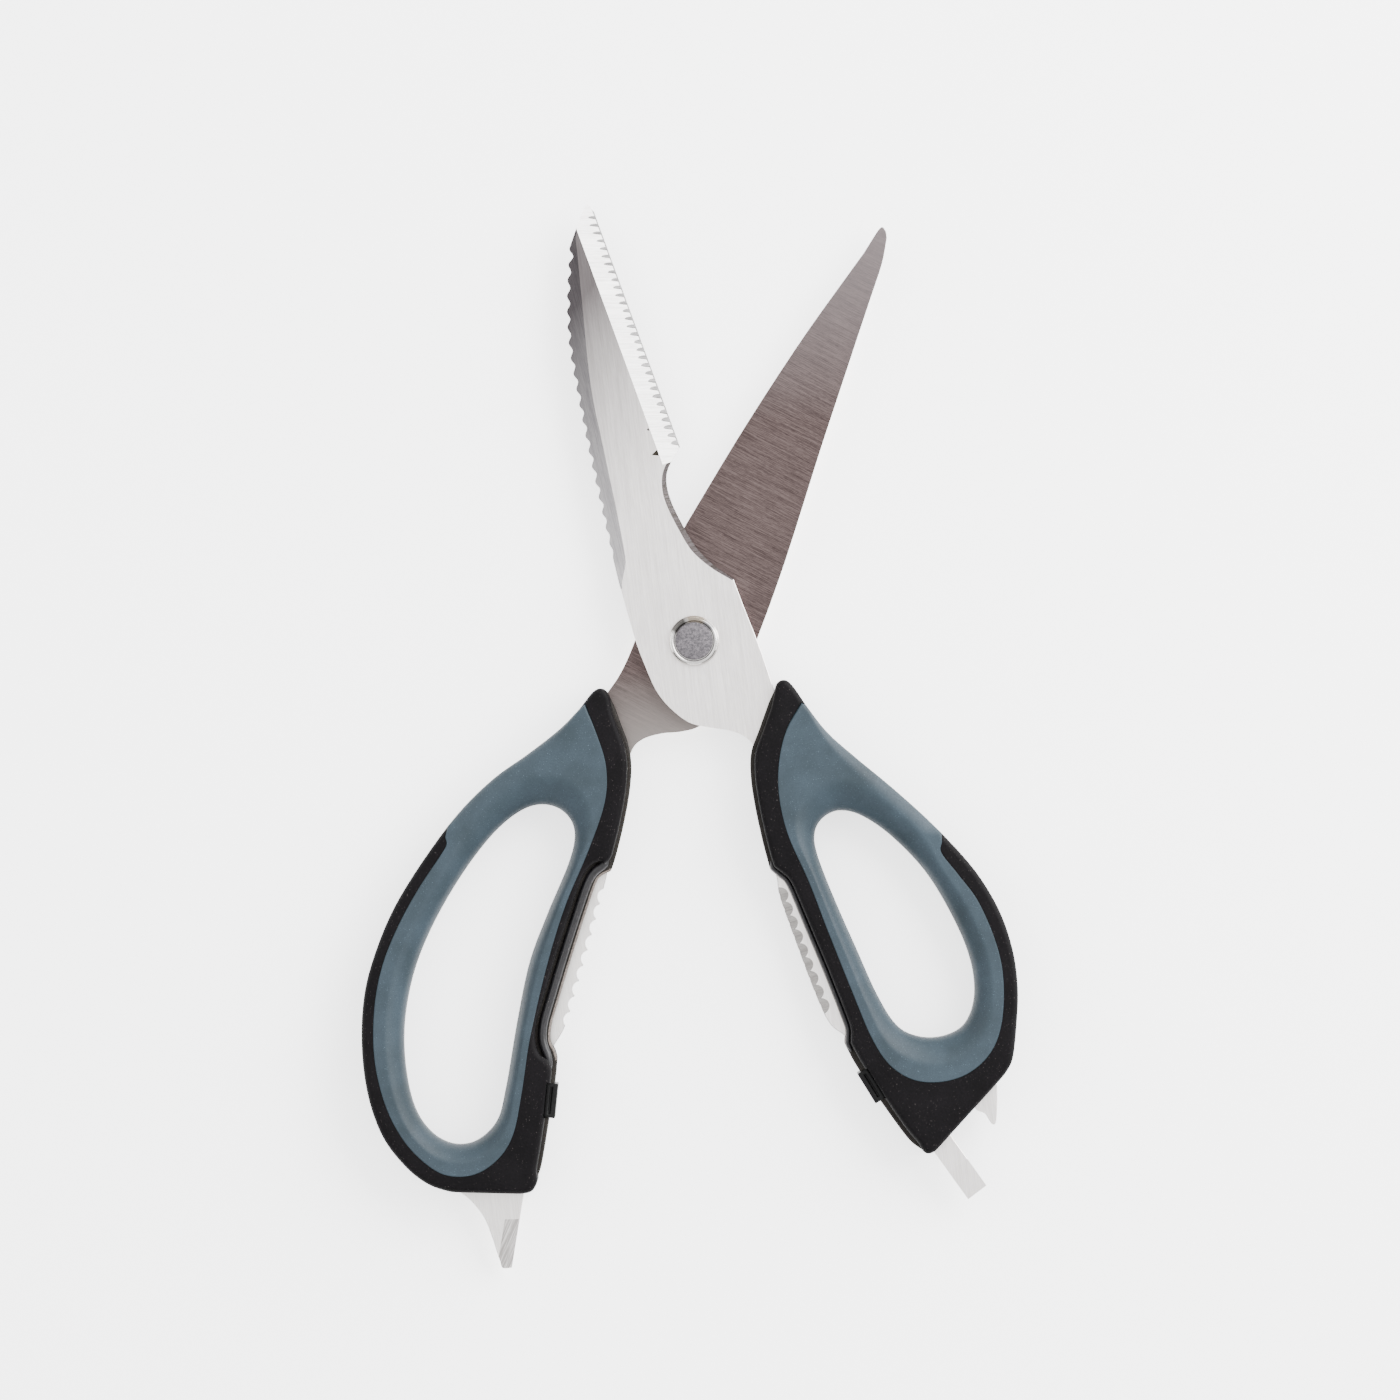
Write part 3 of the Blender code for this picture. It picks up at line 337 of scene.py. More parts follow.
REAR_BLADE_TIP = [(3.4, 93.8), (2.5, 95.1), (1.2, 95.0), (0.2, 89.0)]
REAR_CUTTING_EDGE = [(0.2, 89.0), (-4.5, 67.1), (-8.3, 44.5), (-11.3, 21.9)]
REAR_HEEL_LEFT = [
    (-11.3, 21.9), (-11.8, 10.0), (-11.5, -2.0), (-11.3, -9.0), (-11.6, -13.5), (-12.4, -17.8),
    (-12.2, -21.3), (-9.6, -25.0), (-6.8, -28.7), (-4.4, -33.3), (-2.8, -38.3), (-1.9, -43.8),
    (-1.6, -52.0), (-1.4, -61.5), (-0.5, -71.0), (1.2, -82.0), (3.1, -91.5), (5.0, -98.3),
    (6.9, -105.0), (7.8, -110.5), (7.2, -115.5), (4.8, -119.9), (2.2, -122.9), (0.6, -125.7),
]
PRY_TIP = [(0.6, -125.7), (3.7, -126.4), (7.7, -128.5), (11.0, -131.7), (14.6, -135.8)]
PRY_END = [(14.6, -135.8), (15.7, -136.9), (17.4, -136.1)]
PRY_BACK = [(17.4, -136.1), (14.95, -126.5), (13.4, -120.4)]
REAR_TANG_RIGHT = [
    (13.4, -120.4), (12.6, -117.0), (11.6, -112.5), (9.3, -105.3), (8.0, -99.5), (7.2, -94.5),
    (6.9, -89.8),
]
REAR_TEETH_LINE = [(6.9, -89.8), (7.4, -84.6), (6.3, -75.6), (4.7, -64.0), (3.5, -56.5), (2.9, -52.8)]
REAR_HEEL_RIGHT = [
    (2.9, -52.8), (2.0, -49.0), (1.2, -43.0), (0.0, -37.0), (-1.7, -31.2), (-2.8, -26.4),
    (-1.7, -23.3), (1.4, -20.6), (5.2, -18.5), (8.2, -15.9), (10.2, -11.2), (11.4, -5.0),
    (11.9, 0.5), (12.0, 5.5),
]
REAR_SPINE = [
    (12.0, 5.5), (11.6, 13.5), (10.9, 23.0), (9.9, 33.0), (8.4, 47.0), (7.2, 60.0),
    (6.1, 72.0), (5.3, 81.0), (4.6, 88.5), (3.4, 93.8),
]

# The handles' outlines run counter-clockwise, and start at the top corner near the pivot
FRONT_HANDLE_INNER = [
    (14.1, -13.3), (9.0, -21.0), (6.0, -25.6), (4.6, -31.0), (4.0, -37.5), (3.8, -44.5),
    (3.9, -50.4),
]
FRONT_RECESS = [
    (3.9, -50.4), (5.3, -52.4), (6.5, -54.6), (8.0, -64.0), (9.6, -74.5), (10.9, -84.5),
    (11.0, -87.0), (10.2, -89.6),
]
FRONT_HANDLE_LOWER = [(10.2, -89.6), (11.6, -95.0), (14.8, -103.5), (18.0, -111.4), (20.3, -115.2)]
FRONT_HANDLE_END = [(20.3, -115.2), (21.4, -116.1), (23.0, -116.0)]
FRONT_HANDLE_FACE = [(23.0, -116.0), (41.2, -103.8)]
FRONT_HANDLE_OUTER = [
    (41.2, -103.8), (43.6, -101.0), (46.2, -94.0), (48.2, -87.0), (49.1, -79.5), (48.6, -71.5),
    (46.6, -63.8), (43.6, -57.0), (38.5, -48.2), (32.6, -39.5), (26.9, -31.8), (22.4, -25.2),
    (19.4, -18.5),
]
FRONT_HANDLE_CROWN = [(19.4, -18.5), (18.0, -14.6), (16.8, -12.6), (15.4, -12.4), (14.1, -13.3)]
FRONT_GRIP_EDGE = [
    (18.6, -17.9), (14.3, -22.6), (11.2, -28.6), (9.4, -35.5), (9.2, -44.0), (11.1, -55.0),
    (12.4, -65.5), (14.4, -80.0), (15.9, -89.5), (18.2, -96.0), (22.4, -100.3), (28.0, -102.1),
    (33.8, -101.7), (39.2, -98.8), (43.0, -93.5), (45.6, -85.0), (46.1, -77.0), (44.6, -67.5),
    (41.9, -60.9), (39.9, -56.6), (39.5, -54.8), (40.2, -53.4),
]
FRONT_HOLE = [
    (21.0, -41.9), (17.2, -42.6), (14.8, -45.3), (14.3, -50.0), (15.5, -59.5), (17.4, -70.5),
    (19.4, -81.5), (21.9, -88.7), (26.0, -92.1), (31.2, -93.1), (35.8, -91.6), (39.0, -86.7),
    (40.1, -79.5), (39.0, -70.7), (35.7, -59.4), (30.6, -50.2), (25.4, -44.2),
]

REAR_HANDLE_CROWN = [(-11.4, -17.4), (-12.6, -16.8), (-14.0, -16.8), (-15.2, -18.3), (-16.2, -22.3)]
REAR_HANDLE_OUTER = [
    (-16.2, -22.3), (-18.4, -28.1), (-22.4, -35.5), (-27.0, -43.2), (-30.8, -52.6),
    (-33.5, -63.8), (-35.2, -75.0), (-35.3, -84.5), (-34.0, -94.5), (-30.4, -104.6),
    (-25.0, -114.0), (-18.6, -121.0), (-11.8, -124.9), (-6.0, -126.5), (-1.2, -126.2),
    (1.0, -125.5),
]
REAR_HANDLE_FACE = [(1.0, -125.5), (13.2, -120.5)]
REAR_HANDLE_END = [(13.2, -120.5), (14.9, -119.2), (15.2, -117.0)]
REAR_HANDLE_LOWER = [(15.2, -117.0), (14.0, -111.4), (12.2, -104.4), (10.2, -96.5), (8.6, -91.6)]
REAR_RECESS = [
    (8.6, -91.6), (7.4, -90.2), (5.8, -88.8), (4.7, -85.6), (4.1, -81.0), (2.8, -70.0),
    (1.5, -56.0), (1.8, -53.0), (3.3, -51.2),
]
REAR_HANDLE_INNER = [
    (3.3, -51.2), (3.0, -48.0), (1.9, -41.5), (0.4, -35.0), (-1.5, -29.5), (-4.0, -25.4),
    (-7.6, -21.6), (-11.4, -17.4),
]
REAR_GRIP_EDGE = [
    (-31.4, -58.4), (-30.5, -59.8), (-30.8, -62.6), (-32.2, -70.5), (-33.0, -79.5), (-32.7, -88.5),
    (-30.6, -97.5), (-26.4, -107.0), (-20.4, -115.0), (-13.6, -120.4), (-6.4, -123.1),
    (-1.5, -122.9), (3.0, -120.2), (5.9, -115.2), (6.5, -109.4), (4.7, -101.0), (1.9, -90.6),
    (0.0, -81.0), (-1.7, -70.0), (-2.6, -60.0), (-2.7, -49.0), (-3.6, -38.4), (-6.4, -31.3),
    (-11.0, -25.8), (-15.6, -21.1),
]
REAR_HOLE = [
    (-15.6, -44.2), (-19.4, -47.6), (-22.7, -54.4), (-25.2, -64.8), (-26.5, -76.4), (-26.2, -87.0),
    (-23.9, -97.2), (-20.0, -105.8), (-14.8, -113.0), (-9.4, -116.5), (-4.2, -116.9), (0.0, -114.3),
    (2.2, -108.8), (1.1, -101.4), (-2.3, -87.6), (-4.8, -75.4), (-5.4, -64.5), (-5.6, -52.6),
    (-7.2, -46.4), (-11.0, -43.7),
]

# Where the soft grip first reaches the handles' outer side, above the black strip
FRONT_STRIP_TOP = (40.5, -51.6)
REAR_STRIP_TOP = (-31.5, -56.2)

# Ways in which the grips reach the handles' outer side
FRONT_GRIP_SIDE = Vector((5.0, 3.0))
REAR_GRIP_SIDE = Vector((-5.0, 3.0))

# The pads meet on this line when the shears close
STOP_LINE_START = Vector((11.1, -96.4))
STOP_LINE_END = Vector((13.3, -103.3))

# Marks struck into the face beside the cutting bevel's root
FRONT_NICK = [(0.76, 39.96), (2.3, 39.43), (2.25, 40.79)]
FRONT_SMALL_NICK = [(1.05, 45.36), (1.55, 44.97), (1.6, 45.59)]


# Solids


def link(name, mesh):
    made = bpy.data.objects.new(name, mesh)
    bpy.context.scene.collection.objects.link(made)
    return made


def baked(source):
    """The object with its modifiers and its place in a plain mesh; the source is removed."""
    bpy.context.view_layer.update()
    evaluated = source.evaluated_get(bpy.context.evaluated_depsgraph_get())
    mesh = bpy.data.meshes.new_from_object(evaluated)
    mesh.transform(source.matrix_world)
    name = source.name
    bpy.data.objects.remove(source)
    return link(name, mesh)


def welded(item):
    """Doubles merged and faces turned outwards."""
    bm = bmesh.new()
    bm.from_mesh(item.data)
    bmesh.ops.remove_doubles(bm, verts=bm.verts, dist=0.000002)
    bmesh.ops.recalc_face_normals(bm, faces=bm.faces)
    bm.to_mesh(item.data)
    bm.free()
    return item


def plate(name, loops, bottom, top, edge_radius=0.0, rounds=1):
    """A flat plate from outlines in millimetres, the first its rim and the others its holes."""
    curve = bpy.data.curves.new(name, "CURVE")
    curve.dimensions = "2D"
    curve.fill_mode = "BOTH"
    curve.extrude = (top - bottom) / 2 - edge_radius
    curve.bevel_depth = edge_radius
    curve.bevel_resolution = rounds
    curve.offset = -edge_radius
    for loop in loops:
        stretch = curve.splines.new("POLY")
        stretch.points.add(len(loop) - 1)
        for point, p in zip(stretch.points, loop):
            point.co = (p.x * MM, p.y * MM, 0.0, 1.0)
        stretch.use_cyclic_u = True
    source = link(name, curve)
    source.location.z = (top + bottom) / 2
    return welded(baked(source))


def loft(name, sections, ring=False):
    """A closed solid over sections of equal length; a ring joins its last section to its first."""
    bm = bmesh.new()
    rows = [[bm.verts.new(p) for p in section] for section in sections]
    pairs = list(zip(rows, rows[1:]))
    if ring:
        pairs.append((rows[-1], rows[0]))
    for row, following in pairs:
        for i, vert in enumerate(row):
            j = (i + 1) % len(row)
            bm.faces.new((vert, row[j], following[j], following[i]))
    if not ring:
        bm.faces.new(rows[0])
        bm.faces.new(reversed(rows[-1]))
    bmesh.ops.recalc_face_normals(bm, faces=bm.faces)
    mesh = bpy.data.meshes.new(name)
    bm.to_mesh(mesh)
    bm.free()
    return link(name, mesh)


def crossing(a, b, c, d):
    """The point where two stretches cross, or None."""
    first = b - a
    second = d - c
    turn = first.x * second.y - first.y * second.x
    if abs(turn) < 1e-12:
        return None
    gap = c - a
    along = (gap.x * second.y - gap.y * second.x) / turn
    share = (gap.x * first.y - gap.y * first.x) / turn
    return a + first * along if 0 <= along <= 1 and 0 <= share <= 1 else None


def drawn_in(loop, distance):
    """The outline moved inwards; where it would fold over itself, its points gather in one."""
    row = grown(loop, -distance)
    if distance < 0.001:
        return row
    count = len(row)
    i = 0
    while i < count:
        for ahead in range(min(60, count // 3), 1, -1):
            j = (i + ahead) % count
            meet = crossing(row[i], row[(i + 1) % count], row[j], row[(j + 1) % count])
            if meet is not None:
                for k in range(1, ahead + 1):
                    row[(i + k) % count] = meet
                break
        i += 1
    return row


def rounded_plate(name, loop, bottom, top, radius, steps):
    """A plate with rounded rims, from an outline in millimetres."""
    turns = [math.pi / 2 * k / steps for k in range(steps + 1)]
    rows = [(drawn_in(loop, radius / MM * (1 - math.cos(a))), radius * math.sin(a)) for a in turns]
    sections = [[(p.x * MM, p.y * MM, bottom + radius - rise) for p in row] for row, rise in reversed(rows)]
    sections += [[(p.x * MM, p.y * MM, top - radius + rise) for p in row] for row, rise in rows]
    return welded(loft(name, sections))


def turned(name, profile, sides=96):
    """A solid turned on the pivot's axis, from a profile of radius and height."""
    mesh = bpy.data.meshes.new(name)
    edges = [(i, i + 1) for i in range(len(profile) - 1)]
    if min(r for r, _ in profile) > 0:
        edges.append((len(profile) - 1, 0))
    mesh.from_pydata([(r, 0.0, z) for r, z in profile], edges, [])
    source = link(name, mesh)
    screw = source.modifiers.new("turn", "SCREW")
    screw.steps = sides
    screw.render_steps = sides
    return welded(baked(source))


def combine(target, tool, operation):
    """Applies a Boolean to the target and removes the tool."""
    modifier = target.modifiers.new("combine", "BOOLEAN")
    modifier.object = tool
    modifier.operation = operation
    modifier.solver = "EXACT"
    modifier.use_self = operation == "UNION"
    bpy.context.view_layer.update()
    evaluated = target.evaluated_get(bpy.context.evaluated_depsgraph_get())
    target.data = bpy.data.meshes.new_from_object(evaluated)
    target.modifiers.clear()
    bpy.data.objects.remove(tool)


def cut(target, tool):
    combine(target, tool, "DIFFERENCE")


def join(target, tool):
    combine(target, tool, "UNION")


def add(tree, kind, inputs=None, **settings):
    """A node with its settings, and each input set to a value or linked to an output."""
    made = tree.nodes.new(kind)
    for name, value in settings.items():
        setattr(made, name, value)
    for name, value in (inputs or {}).items():
        if isinstance(value, bpy.types.NodeSocket):
            tree.links.new(value, made.inputs[name])
        else:
            made.inputs[name].default_value = value
    return made


def repeat_tree():
    """Sets a model on every point of a mesh, with the turn and the size that the point carries."""
    tree = bpy.data.node_groups.new("model_on_points", "GeometryNodeTree")
    inlets = ("Geometry", "Geometry"), ("Model", "Object"), ("Size", "Float"), ("Finish", "Material")
    for label, kind in inlets:
        tree.interface.new_socket(label, in_out="INPUT", socket_type="NodeSocket" + kind)
    tree.interface.new_socket("Geometry", in_out="OUTPUT", socket_type="NodeSocketGeometry")
    inlet = add(tree, "NodeGroupInput")
    turn = add(tree, "GeometryNodeInputNamedAttribute", {"Name": "turn"}, data_type="FLOAT_VECTOR")
    size = add(tree, "GeometryNodeInputNamedAttribute", {"Name": "size"}, data_type="FLOAT_VECTOR")
    values = {0: size.outputs["Attribute"], 3: inlet.outputs["Size"]}
    whole = add(tree, "ShaderNodeVectorMath", values, operation="SCALE")
    model = add(tree, "GeometryNodeObjectInfo", {"Object": inlet.outputs["Model"], "As Instance": True})
    spun = add(tree, "FunctionNodeEulerToRotation", {"Euler": turn.outputs["Attribute"]})
    values = {
        "Points": inlet.outputs["Geometry"],
        "Instance": model.outputs["Geometry"],
        "Rotation": spun.outputs["Rotation"],
        "Scale": whole.outputs["Vector"],
    }
    placed = add(tree, "GeometryNodeInstanceOnPoints", values)
    real = add(tree, "GeometryNodeRealizeInstances", {"Geometry": placed.outputs["Instances"]})
    values = {"Geometry": real.outputs["Geometry"], "Material": inlet.outputs["Finish"]}
    coated = add(tree, "GeometryNodeSetMaterial", values)
    add(tree, "NodeGroupOutput", {"Geometry": coated.outputs["Geometry"]})
    return tree


def repeated(name, model, spots, size=1.0, finish=None):
    """One mesh of the model set at each spot: its place, its turn and its size. The model goes."""
    mesh = bpy.data.meshes.new(name)
    mesh.from_pydata([place for place, _, _ in spots], [], [])
    for label, column in (("turn", 1), ("size", 2)):
        attribute = mesh.attributes.new(label, "FLOAT_VECTOR", "POINT")
        for item, spot in zip(attribute.data, spots):
            item.vector = tuple(spot[column])
    holder = link(name, mesh)
    tree = bpy.data.node_groups.get("model_on_points") or repeat_tree()
    modifier = holder.modifiers.new("repeat", "NODES")
    modifier.node_group = tree
    values = {"Model": model, "Size": size, "Finish": finish}
    for item in tree.interface.items_tree:
        if item.in_out == "INPUT" and values.get(item.name) is not None:
            modifier[item.identifier] = values[item.name]
    made = baked(holder)
    bpy.data.objects.remove(model)
    return made


# Blades


def bevel_cutter(name, edge, widths, depths, face, downwards):
    """A wedge that grinds a plate along its edge, which has the plate on its left."""
    past = GRIND_OVERRUN / MM
    lead = GRIND_LEAD / MM
    sections = []
    for i, p in enumerate(edge):
        inward = left_of((edge[min(i + 1, len(edge) - 1)] - edge[max(i - 1, 0)]).normalized())
        width = widths[i] / MM
        low = face - downwards * depths[i] * (1 + past / width)
        high = face + downwards * depths[i] * lead / width
        inner = (p + inward * (width + lead)) * MM
        outer = (p - inward * past) * MM
        sections.append(
            [
                (inner.x, inner.y, high),
                (outer.x, outer.y, low),
                (outer.x, outer.y, face + downwards * MM),
            ]
        )
    return loft(name, sections)


def taper_cutter(name, left, right, back, face, depth):
    """A wedge that thins a flat tip from its upper face, from a root line back from its end."""
    overrun = 0.2
    spread = (right - left).normalized() * GRIND_OVERRUN / MM
    sections = []
    for corner in (left - spread, right + spread):
        a = (corner + back * (1 + overrun)) * MM
        b = (corner - back * overrun) * MM
        sections.append(
            [
                (a.x, a.y, face + depth * overrun),
                (b.x, b.y, face - depth * (1 + overrun)),
                (b.x, b.y, face + MM),
            ]
        )
    return loft(name, sections)


def across(line, place):
    """Shortest vector from a place to a polyline."""
    best = None
    for a, b in zip(line, line[1:]):
        chord = b - a
        share = max(0.0, min(1.0, (place - a).dot(chord) / chord.length_squared))
        gap = a + chord * share - place
        if best is None or gap.length < best.length:
            best = gap
    return best


def front_outline():
    scallops = scalloped(FRONT_SCALLOP_LINE, SCALLOP_COUNT, SCALLOP_DEPTH)
    return drawn(
        FRONT_BLADE_TIP, FRONT_TIP_BACK, scallops, FRONT_HEEL_LEFT, FRONT_TEETH_LINE,
        FRONT_TANG_END, DRIVER_TAB[:2], DRIVER_TAB[1:3], DRIVER_TAB[2:], HOOK, FRONT_TANG_RIGHT,
        FRONT_NOTCH, FRONT_CUTTING_EDGE,
    )


def rear_outline():
    return drawn(
        REAR_BLADE_TIP, REAR_CUTTING_EDGE, REAR_HEEL_LEFT, PRY_TIP, PRY_END, PRY_BACK,
        REAR_TANG_RIGHT, REAR_TEETH_LINE, REAR_HEEL_RIGHT, REAR_SPINE,
    )


def serrations(part):
    """Leaf-shaped notches ground across the cutting bevel, level in the photographed pose.

    Each has a steep lower wall and a long ramp above it, and runs out a little way in.
    One call gives every other notch, as neighbours' wedges meet above the steel.
    """
    low = Vector(FRONT_CUTTING_EDGE[0])
    along = (Vector(FRONT_CUTTING_EDGE[1]) - low).normalized()
    slope = math.atan2(PLATE_THICKNESS - EDGE_THICKNESS, CUTTING_BEVEL_WIDTH)
    inward = left_of(along)
    normal = Vector((-inward.x * math.sin(slope), -inward.y * math.sin(slope), math.cos(slope)))
    leaf = Vector((-math.cos(FRONT_TURN), math.sin(FRONT_TURN), 0.0))
    leaf = (leaf - normal * leaf.dot(normal)).normalized()
    turn = Matrix((leaf, normal.cross(leaf), normal)).transposed().to_euler()
    spots = []
    for k in range(SERRATION_COUNT):
        p = low + along * (SERRATION_START / MM + SERRATION_PITCH / MM * k)
        place = Vector((p.x * MM, p.y * MM, FRONT_PLATE_BOTTOM + EDGE_THICKNESS))
        length = 0.9 + 0.2 * math.sin(k * 2.4) ** 2
        width = 1.0 - SERRATION_NARROWING * k / SERRATION_COUNT
        spots.append((place, turn, Vector((length, width, 1.0))))
    sections = []
    above = SERRATION_LIFT
    for k in range(SERRATION_SECTIONS + 1):
        share = k / SERRATION_SECTIONS
        sunk = SERRATION_DEPTH * math.sqrt(1.0 - share**2) - SERRATION_TIP_RISE
        reach = SERRATION_LENGTH * share if k else -SERRATION_OVERRUN
        wall = SERRATION_WALL * (sunk + above)
        ramp = SERRATION_RAMP * (sunk + above)
        sections.append(
            [
                (reach, -ramp, above),
                (reach, -ramp * 0.5, -sunk + (sunk + above) * SERRATION_HOLLOW),
                (reach, 0.0, -sunk),
                (reach, wall, above),
            ]
        )
    return repeated("serrations", loft("serration", sections), spots[part::2])


def teeth(part, line, face, first, pitch, depth, tilt):
    """Round scoops ground slantwise across the gripping edge, sunk to a depth at one face.

    The first distance and the pitch run down from the edge's upper end, and one call gives
    every other scoop.
    """
    samples = spline(line)
    reach = distances(samples)
    spots = []
    for k in range(TOOTH_COUNT):
        place = (first + pitch * (k + 0.5)) / MM
        if samples[0].y < samples[-1].y:
            place = reach[-1] - place
        p, along = at_distance(samples, reach, place)
        inward = left_of(along)
        tilted = inward * math.sin(tilt)
        axis = Vector((tilted.x, tilted.y, math.cos(tilt)))
        side = Vector((along.x, along.y, 0.0))
        turn = Matrix((side, axis.cross(side), axis)).transposed().to_euler()
        centre = (p - inward * (TOOTH_RADIUS / math.cos(tilt) - depth) / MM) * MM
        spots.append((Vector((centre.x, centre.y, face)), turn, Vector((1.0, 1.0, 1.0))))
    bpy.ops.mesh.primitive_cylinder_add(vertices=64, radius=TOOTH_RADIUS, depth=TOOTH_CUTTER)
    return repeated("tooth_scoops", bpy.context.object, spots[part::2])


def nick(points, face, depth):
    """A small mark struck into a face, from its outline in millimetres."""
    return plate("nick", [[Vector(p) for p in points]], face - depth, face + MM)


def front_blade():
    rims = [front_outline(), circle((0, 0), FRONT_BORE)]
    blade = plate("front_blade_ground", rims, FRONT_PLATE_BOTTOM, FRONT_PLATE_TOP, EDGE_BREAK)
    low, high = (Vector(p) for p in FRONT_CUTTING_EDGE)
    along = (high - low).normalized()
    edge = [low - along * BEVEL_LEAD, high + along * BEVEL_RUN_OUT]
    widths = [CUTTING_BEVEL_WIDTH] * 2
    depths = [PLATE_THICKNESS - EDGE_THICKNESS] * 2
    cut(blade, bevel_cutter("cutting_bevel", edge, widths, depths, FRONT_PLATE_TOP, 1))
    back = evenly(spline(FRONT_BACK_BEVEL), BEVEL_STATIONS)
    limit = spline(FRONT_BEVEL_LINE)
    widths = [max(LEAST_FACET, across(limit, p).length) for p in back]
    depths = [(PLATE_THICKNESS - SCALLOP_EDGE_THICKNESS) * min(1.0, w / FULL_FACET) for w in widths]
    widths = [w * MM for w in widths]
    cut(blade, bevel_cutter("scallop_bevel", back, widths, depths, FRONT_PLATE_TOP, 1))
    notch = evenly(spline(FRONT_NOTCH), BEVEL_STATIONS)
    last = BEVEL_STATIONS - 1
    widths = [NOTCH_BEVEL_WIDTH * min(1.0, 0.3 + 2.2 * min(i, last - i) / last) for i in range(last + 1)]
    depths = [NOTCH_BEVEL_DEPTH * w / NOTCH_BEVEL_WIDTH for w in widths]
    cut(blade, bevel_cutter("notch_bevel", notch, widths, depths, FRONT_PLATE_TOP, 1))
    for outline in (FRONT_NICK, FRONT_SMALL_NICK):
        cut(blade, nick(outline, FRONT_PLATE_TOP, NICK_DEPTH))
    height = FRONT_PLATE_BOTTOM + EDGE_THICKNESS + EDGE_LINE_RISE
    cut(blade, bevel_cutter("edge_line", edge, [EDGE_LINE_WIDTH] * 2, [EDGE_LINE_DEPTH] * 2, height, 1))
    row = (
        FRONT_TEETH_LINE, FRONT_PLATE_TOP, FRONT_TOOTH_START, FRONT_TOOTH_PITCH, FRONT_TOOTH_DEPTH,
        FRONT_TOOTH_TILT,
    )
    for part in (0, 1):
        cut(blade, serrations(part))
        cut(blade, teeth(part, *row))
    left, right = Vector(DRIVER_TAB[1]), Vector(DRIVER_TAB[2])
    back = (Vector(DRIVER_TAB[0]) - left).normalized() * DRIVER_TAPER_LENGTH
    cut(blade, taper_cutter("driver_taper", left, right, back, FRONT_PLATE_TOP, DRIVER_TAPER_DEPTH))
    return blade


def rear_blade():
    rims = [rear_outline(), circle((0, 0), REAR_BORE)]
    blade = plate("rear_blade_ground", rims, REAR_PLATE_BOTTOM, REAR_PLATE_TOP, EDGE_BREAK)
    edge = evenly(spline(REAR_CUTTING_EDGE), 30)
    edge[0] += (edge[0] - edge[1]).normalized() * BEVEL_RUN_OUT
    depths = [PLATE_THICKNESS - EDGE_THICKNESS] * len(edge)
    widths = [CUTTING_BEVEL_WIDTH] * len(edge)
    cut(blade, bevel_cutter("cutting_bevel", edge, widths, depths, REAR_PLATE_BOTTOM, -1))
    row = (
        REAR_TEETH_LINE, REAR_PLATE_TOP, REAR_TOOTH_START, REAR_TOOTH_PITCH, REAR_TOOTH_DEPTH,
        REAR_TOOTH_TILT,
    )
    for part in (0, 1):
        cut(blade, teeth(part, *row))
    left, right = Vector(PRY_END[1]), Vector(PRY_END[2])
    back = (Vector(PRY_BACK[1]) - right).normalized() * PRY_TAPER_LENGTH
    cut(blade, taper_cutter("pry_taper", left, right, back, REAR_PLATE_TOP, PRY_TAPER_DEPTH))
    return blade


# Handles


def loop_of(*stretches):
    """The closed outline sampled closely, and the length at which each stretch begins."""
    samples = []
    starts = []
    for stretch in stretches:
        starts.append(len(samples))
        samples += [p for p in spline(stretch) if not samples or (p - samples[-1]).length > 0.02]
    if (samples[0] - samples[-1]).length < 0.1:
        samples.pop()
    return samples, starts


def eased(table, spot):
    """A value between the listed places, eased from one to the next."""
    for (a, low), (b, high) in zip(table, table[1:]):
        if spot <= b:
            share = max(0.0, (spot - a) / max(1e-9, b - a))
            return low + (high - low) * share * share * (3 - 2 * share)
    return table[-1][1]


def inset_loop(samples, table, smoothing):
    """The counter-clockwise outline moved inwards by what the table says at each place along it."""
    even = evenly(samples + samples[:1], len(samples))[:-1]
    reach = distances(even)
    count = len(even)
    moved = []
    for i, p in enumerate(even):
        along = (even[(i + 3) % count] - even[i - 3]).normalized()
        moved.append(p + left_of(along) * eased(table, reach[i]))
    for _ in range(smoothing):
        moved = [
            (moved[i - 1] + moved[i] * 2 + moved[(i + 1) % count]) / 4 for i in range(count)
        ]
    half = count // 2
    return simplified(moved[: half + 1])[:-1] + simplified(moved[half:] + moved[:1])[:-1]


def bead(name, run, inset, radius, height):
    """A round ridge along the recess, tapering away at both its ends."""
    curve = bpy.data.curves.new(name, "CURVE")
    curve.dimensions = "3D"
    curve.bevel_depth = radius * MM
    curve.bevel_resolution = 5
    curve.use_fill_caps = True
    stretch = curve.splines.new("POLY")
    stretch.points.add(len(run) - 1)
    last = len(run) - 1
    for i, (point, p) in enumerate(zip(stretch.points, run)):
        along = (run[min(i + 2, last)] - run[max(i - 2, 0)]).normalized()
        q = p + left_of(along) * inset
        point.co = (q.x * MM, q.y * MM, height, 1.0)
        point.radius = math.sqrt(min(1.0, 0.08 + min(i, last - i) * 0.35 / (radius / CURVE_STEP)))
    return welded(baked(link(name, curve)))


def stop_block(name, side, length, width, start, depth):
    """A block beside the line on which the pads meet, from a start distance to a depth behind it."""
    along = (STOP_LINE_END - STOP_LINE_START).normalized()
    middle = (STOP_LINE_START + STOP_LINE_END) / 2 * MM
    centre = middle + left_of(along) * side * (start + depth) / 2
    bpy.ops.mesh.primitive_cube_add(size=1, location=(centre.x, centre.y, SHEAR_PLANE))
    block = bpy.context.object
    block.name = name
    block.scale = (length, depth - start, width)
    block.rotation_euler.z = math.atan2(along.y, along.x)
    return baked(block)


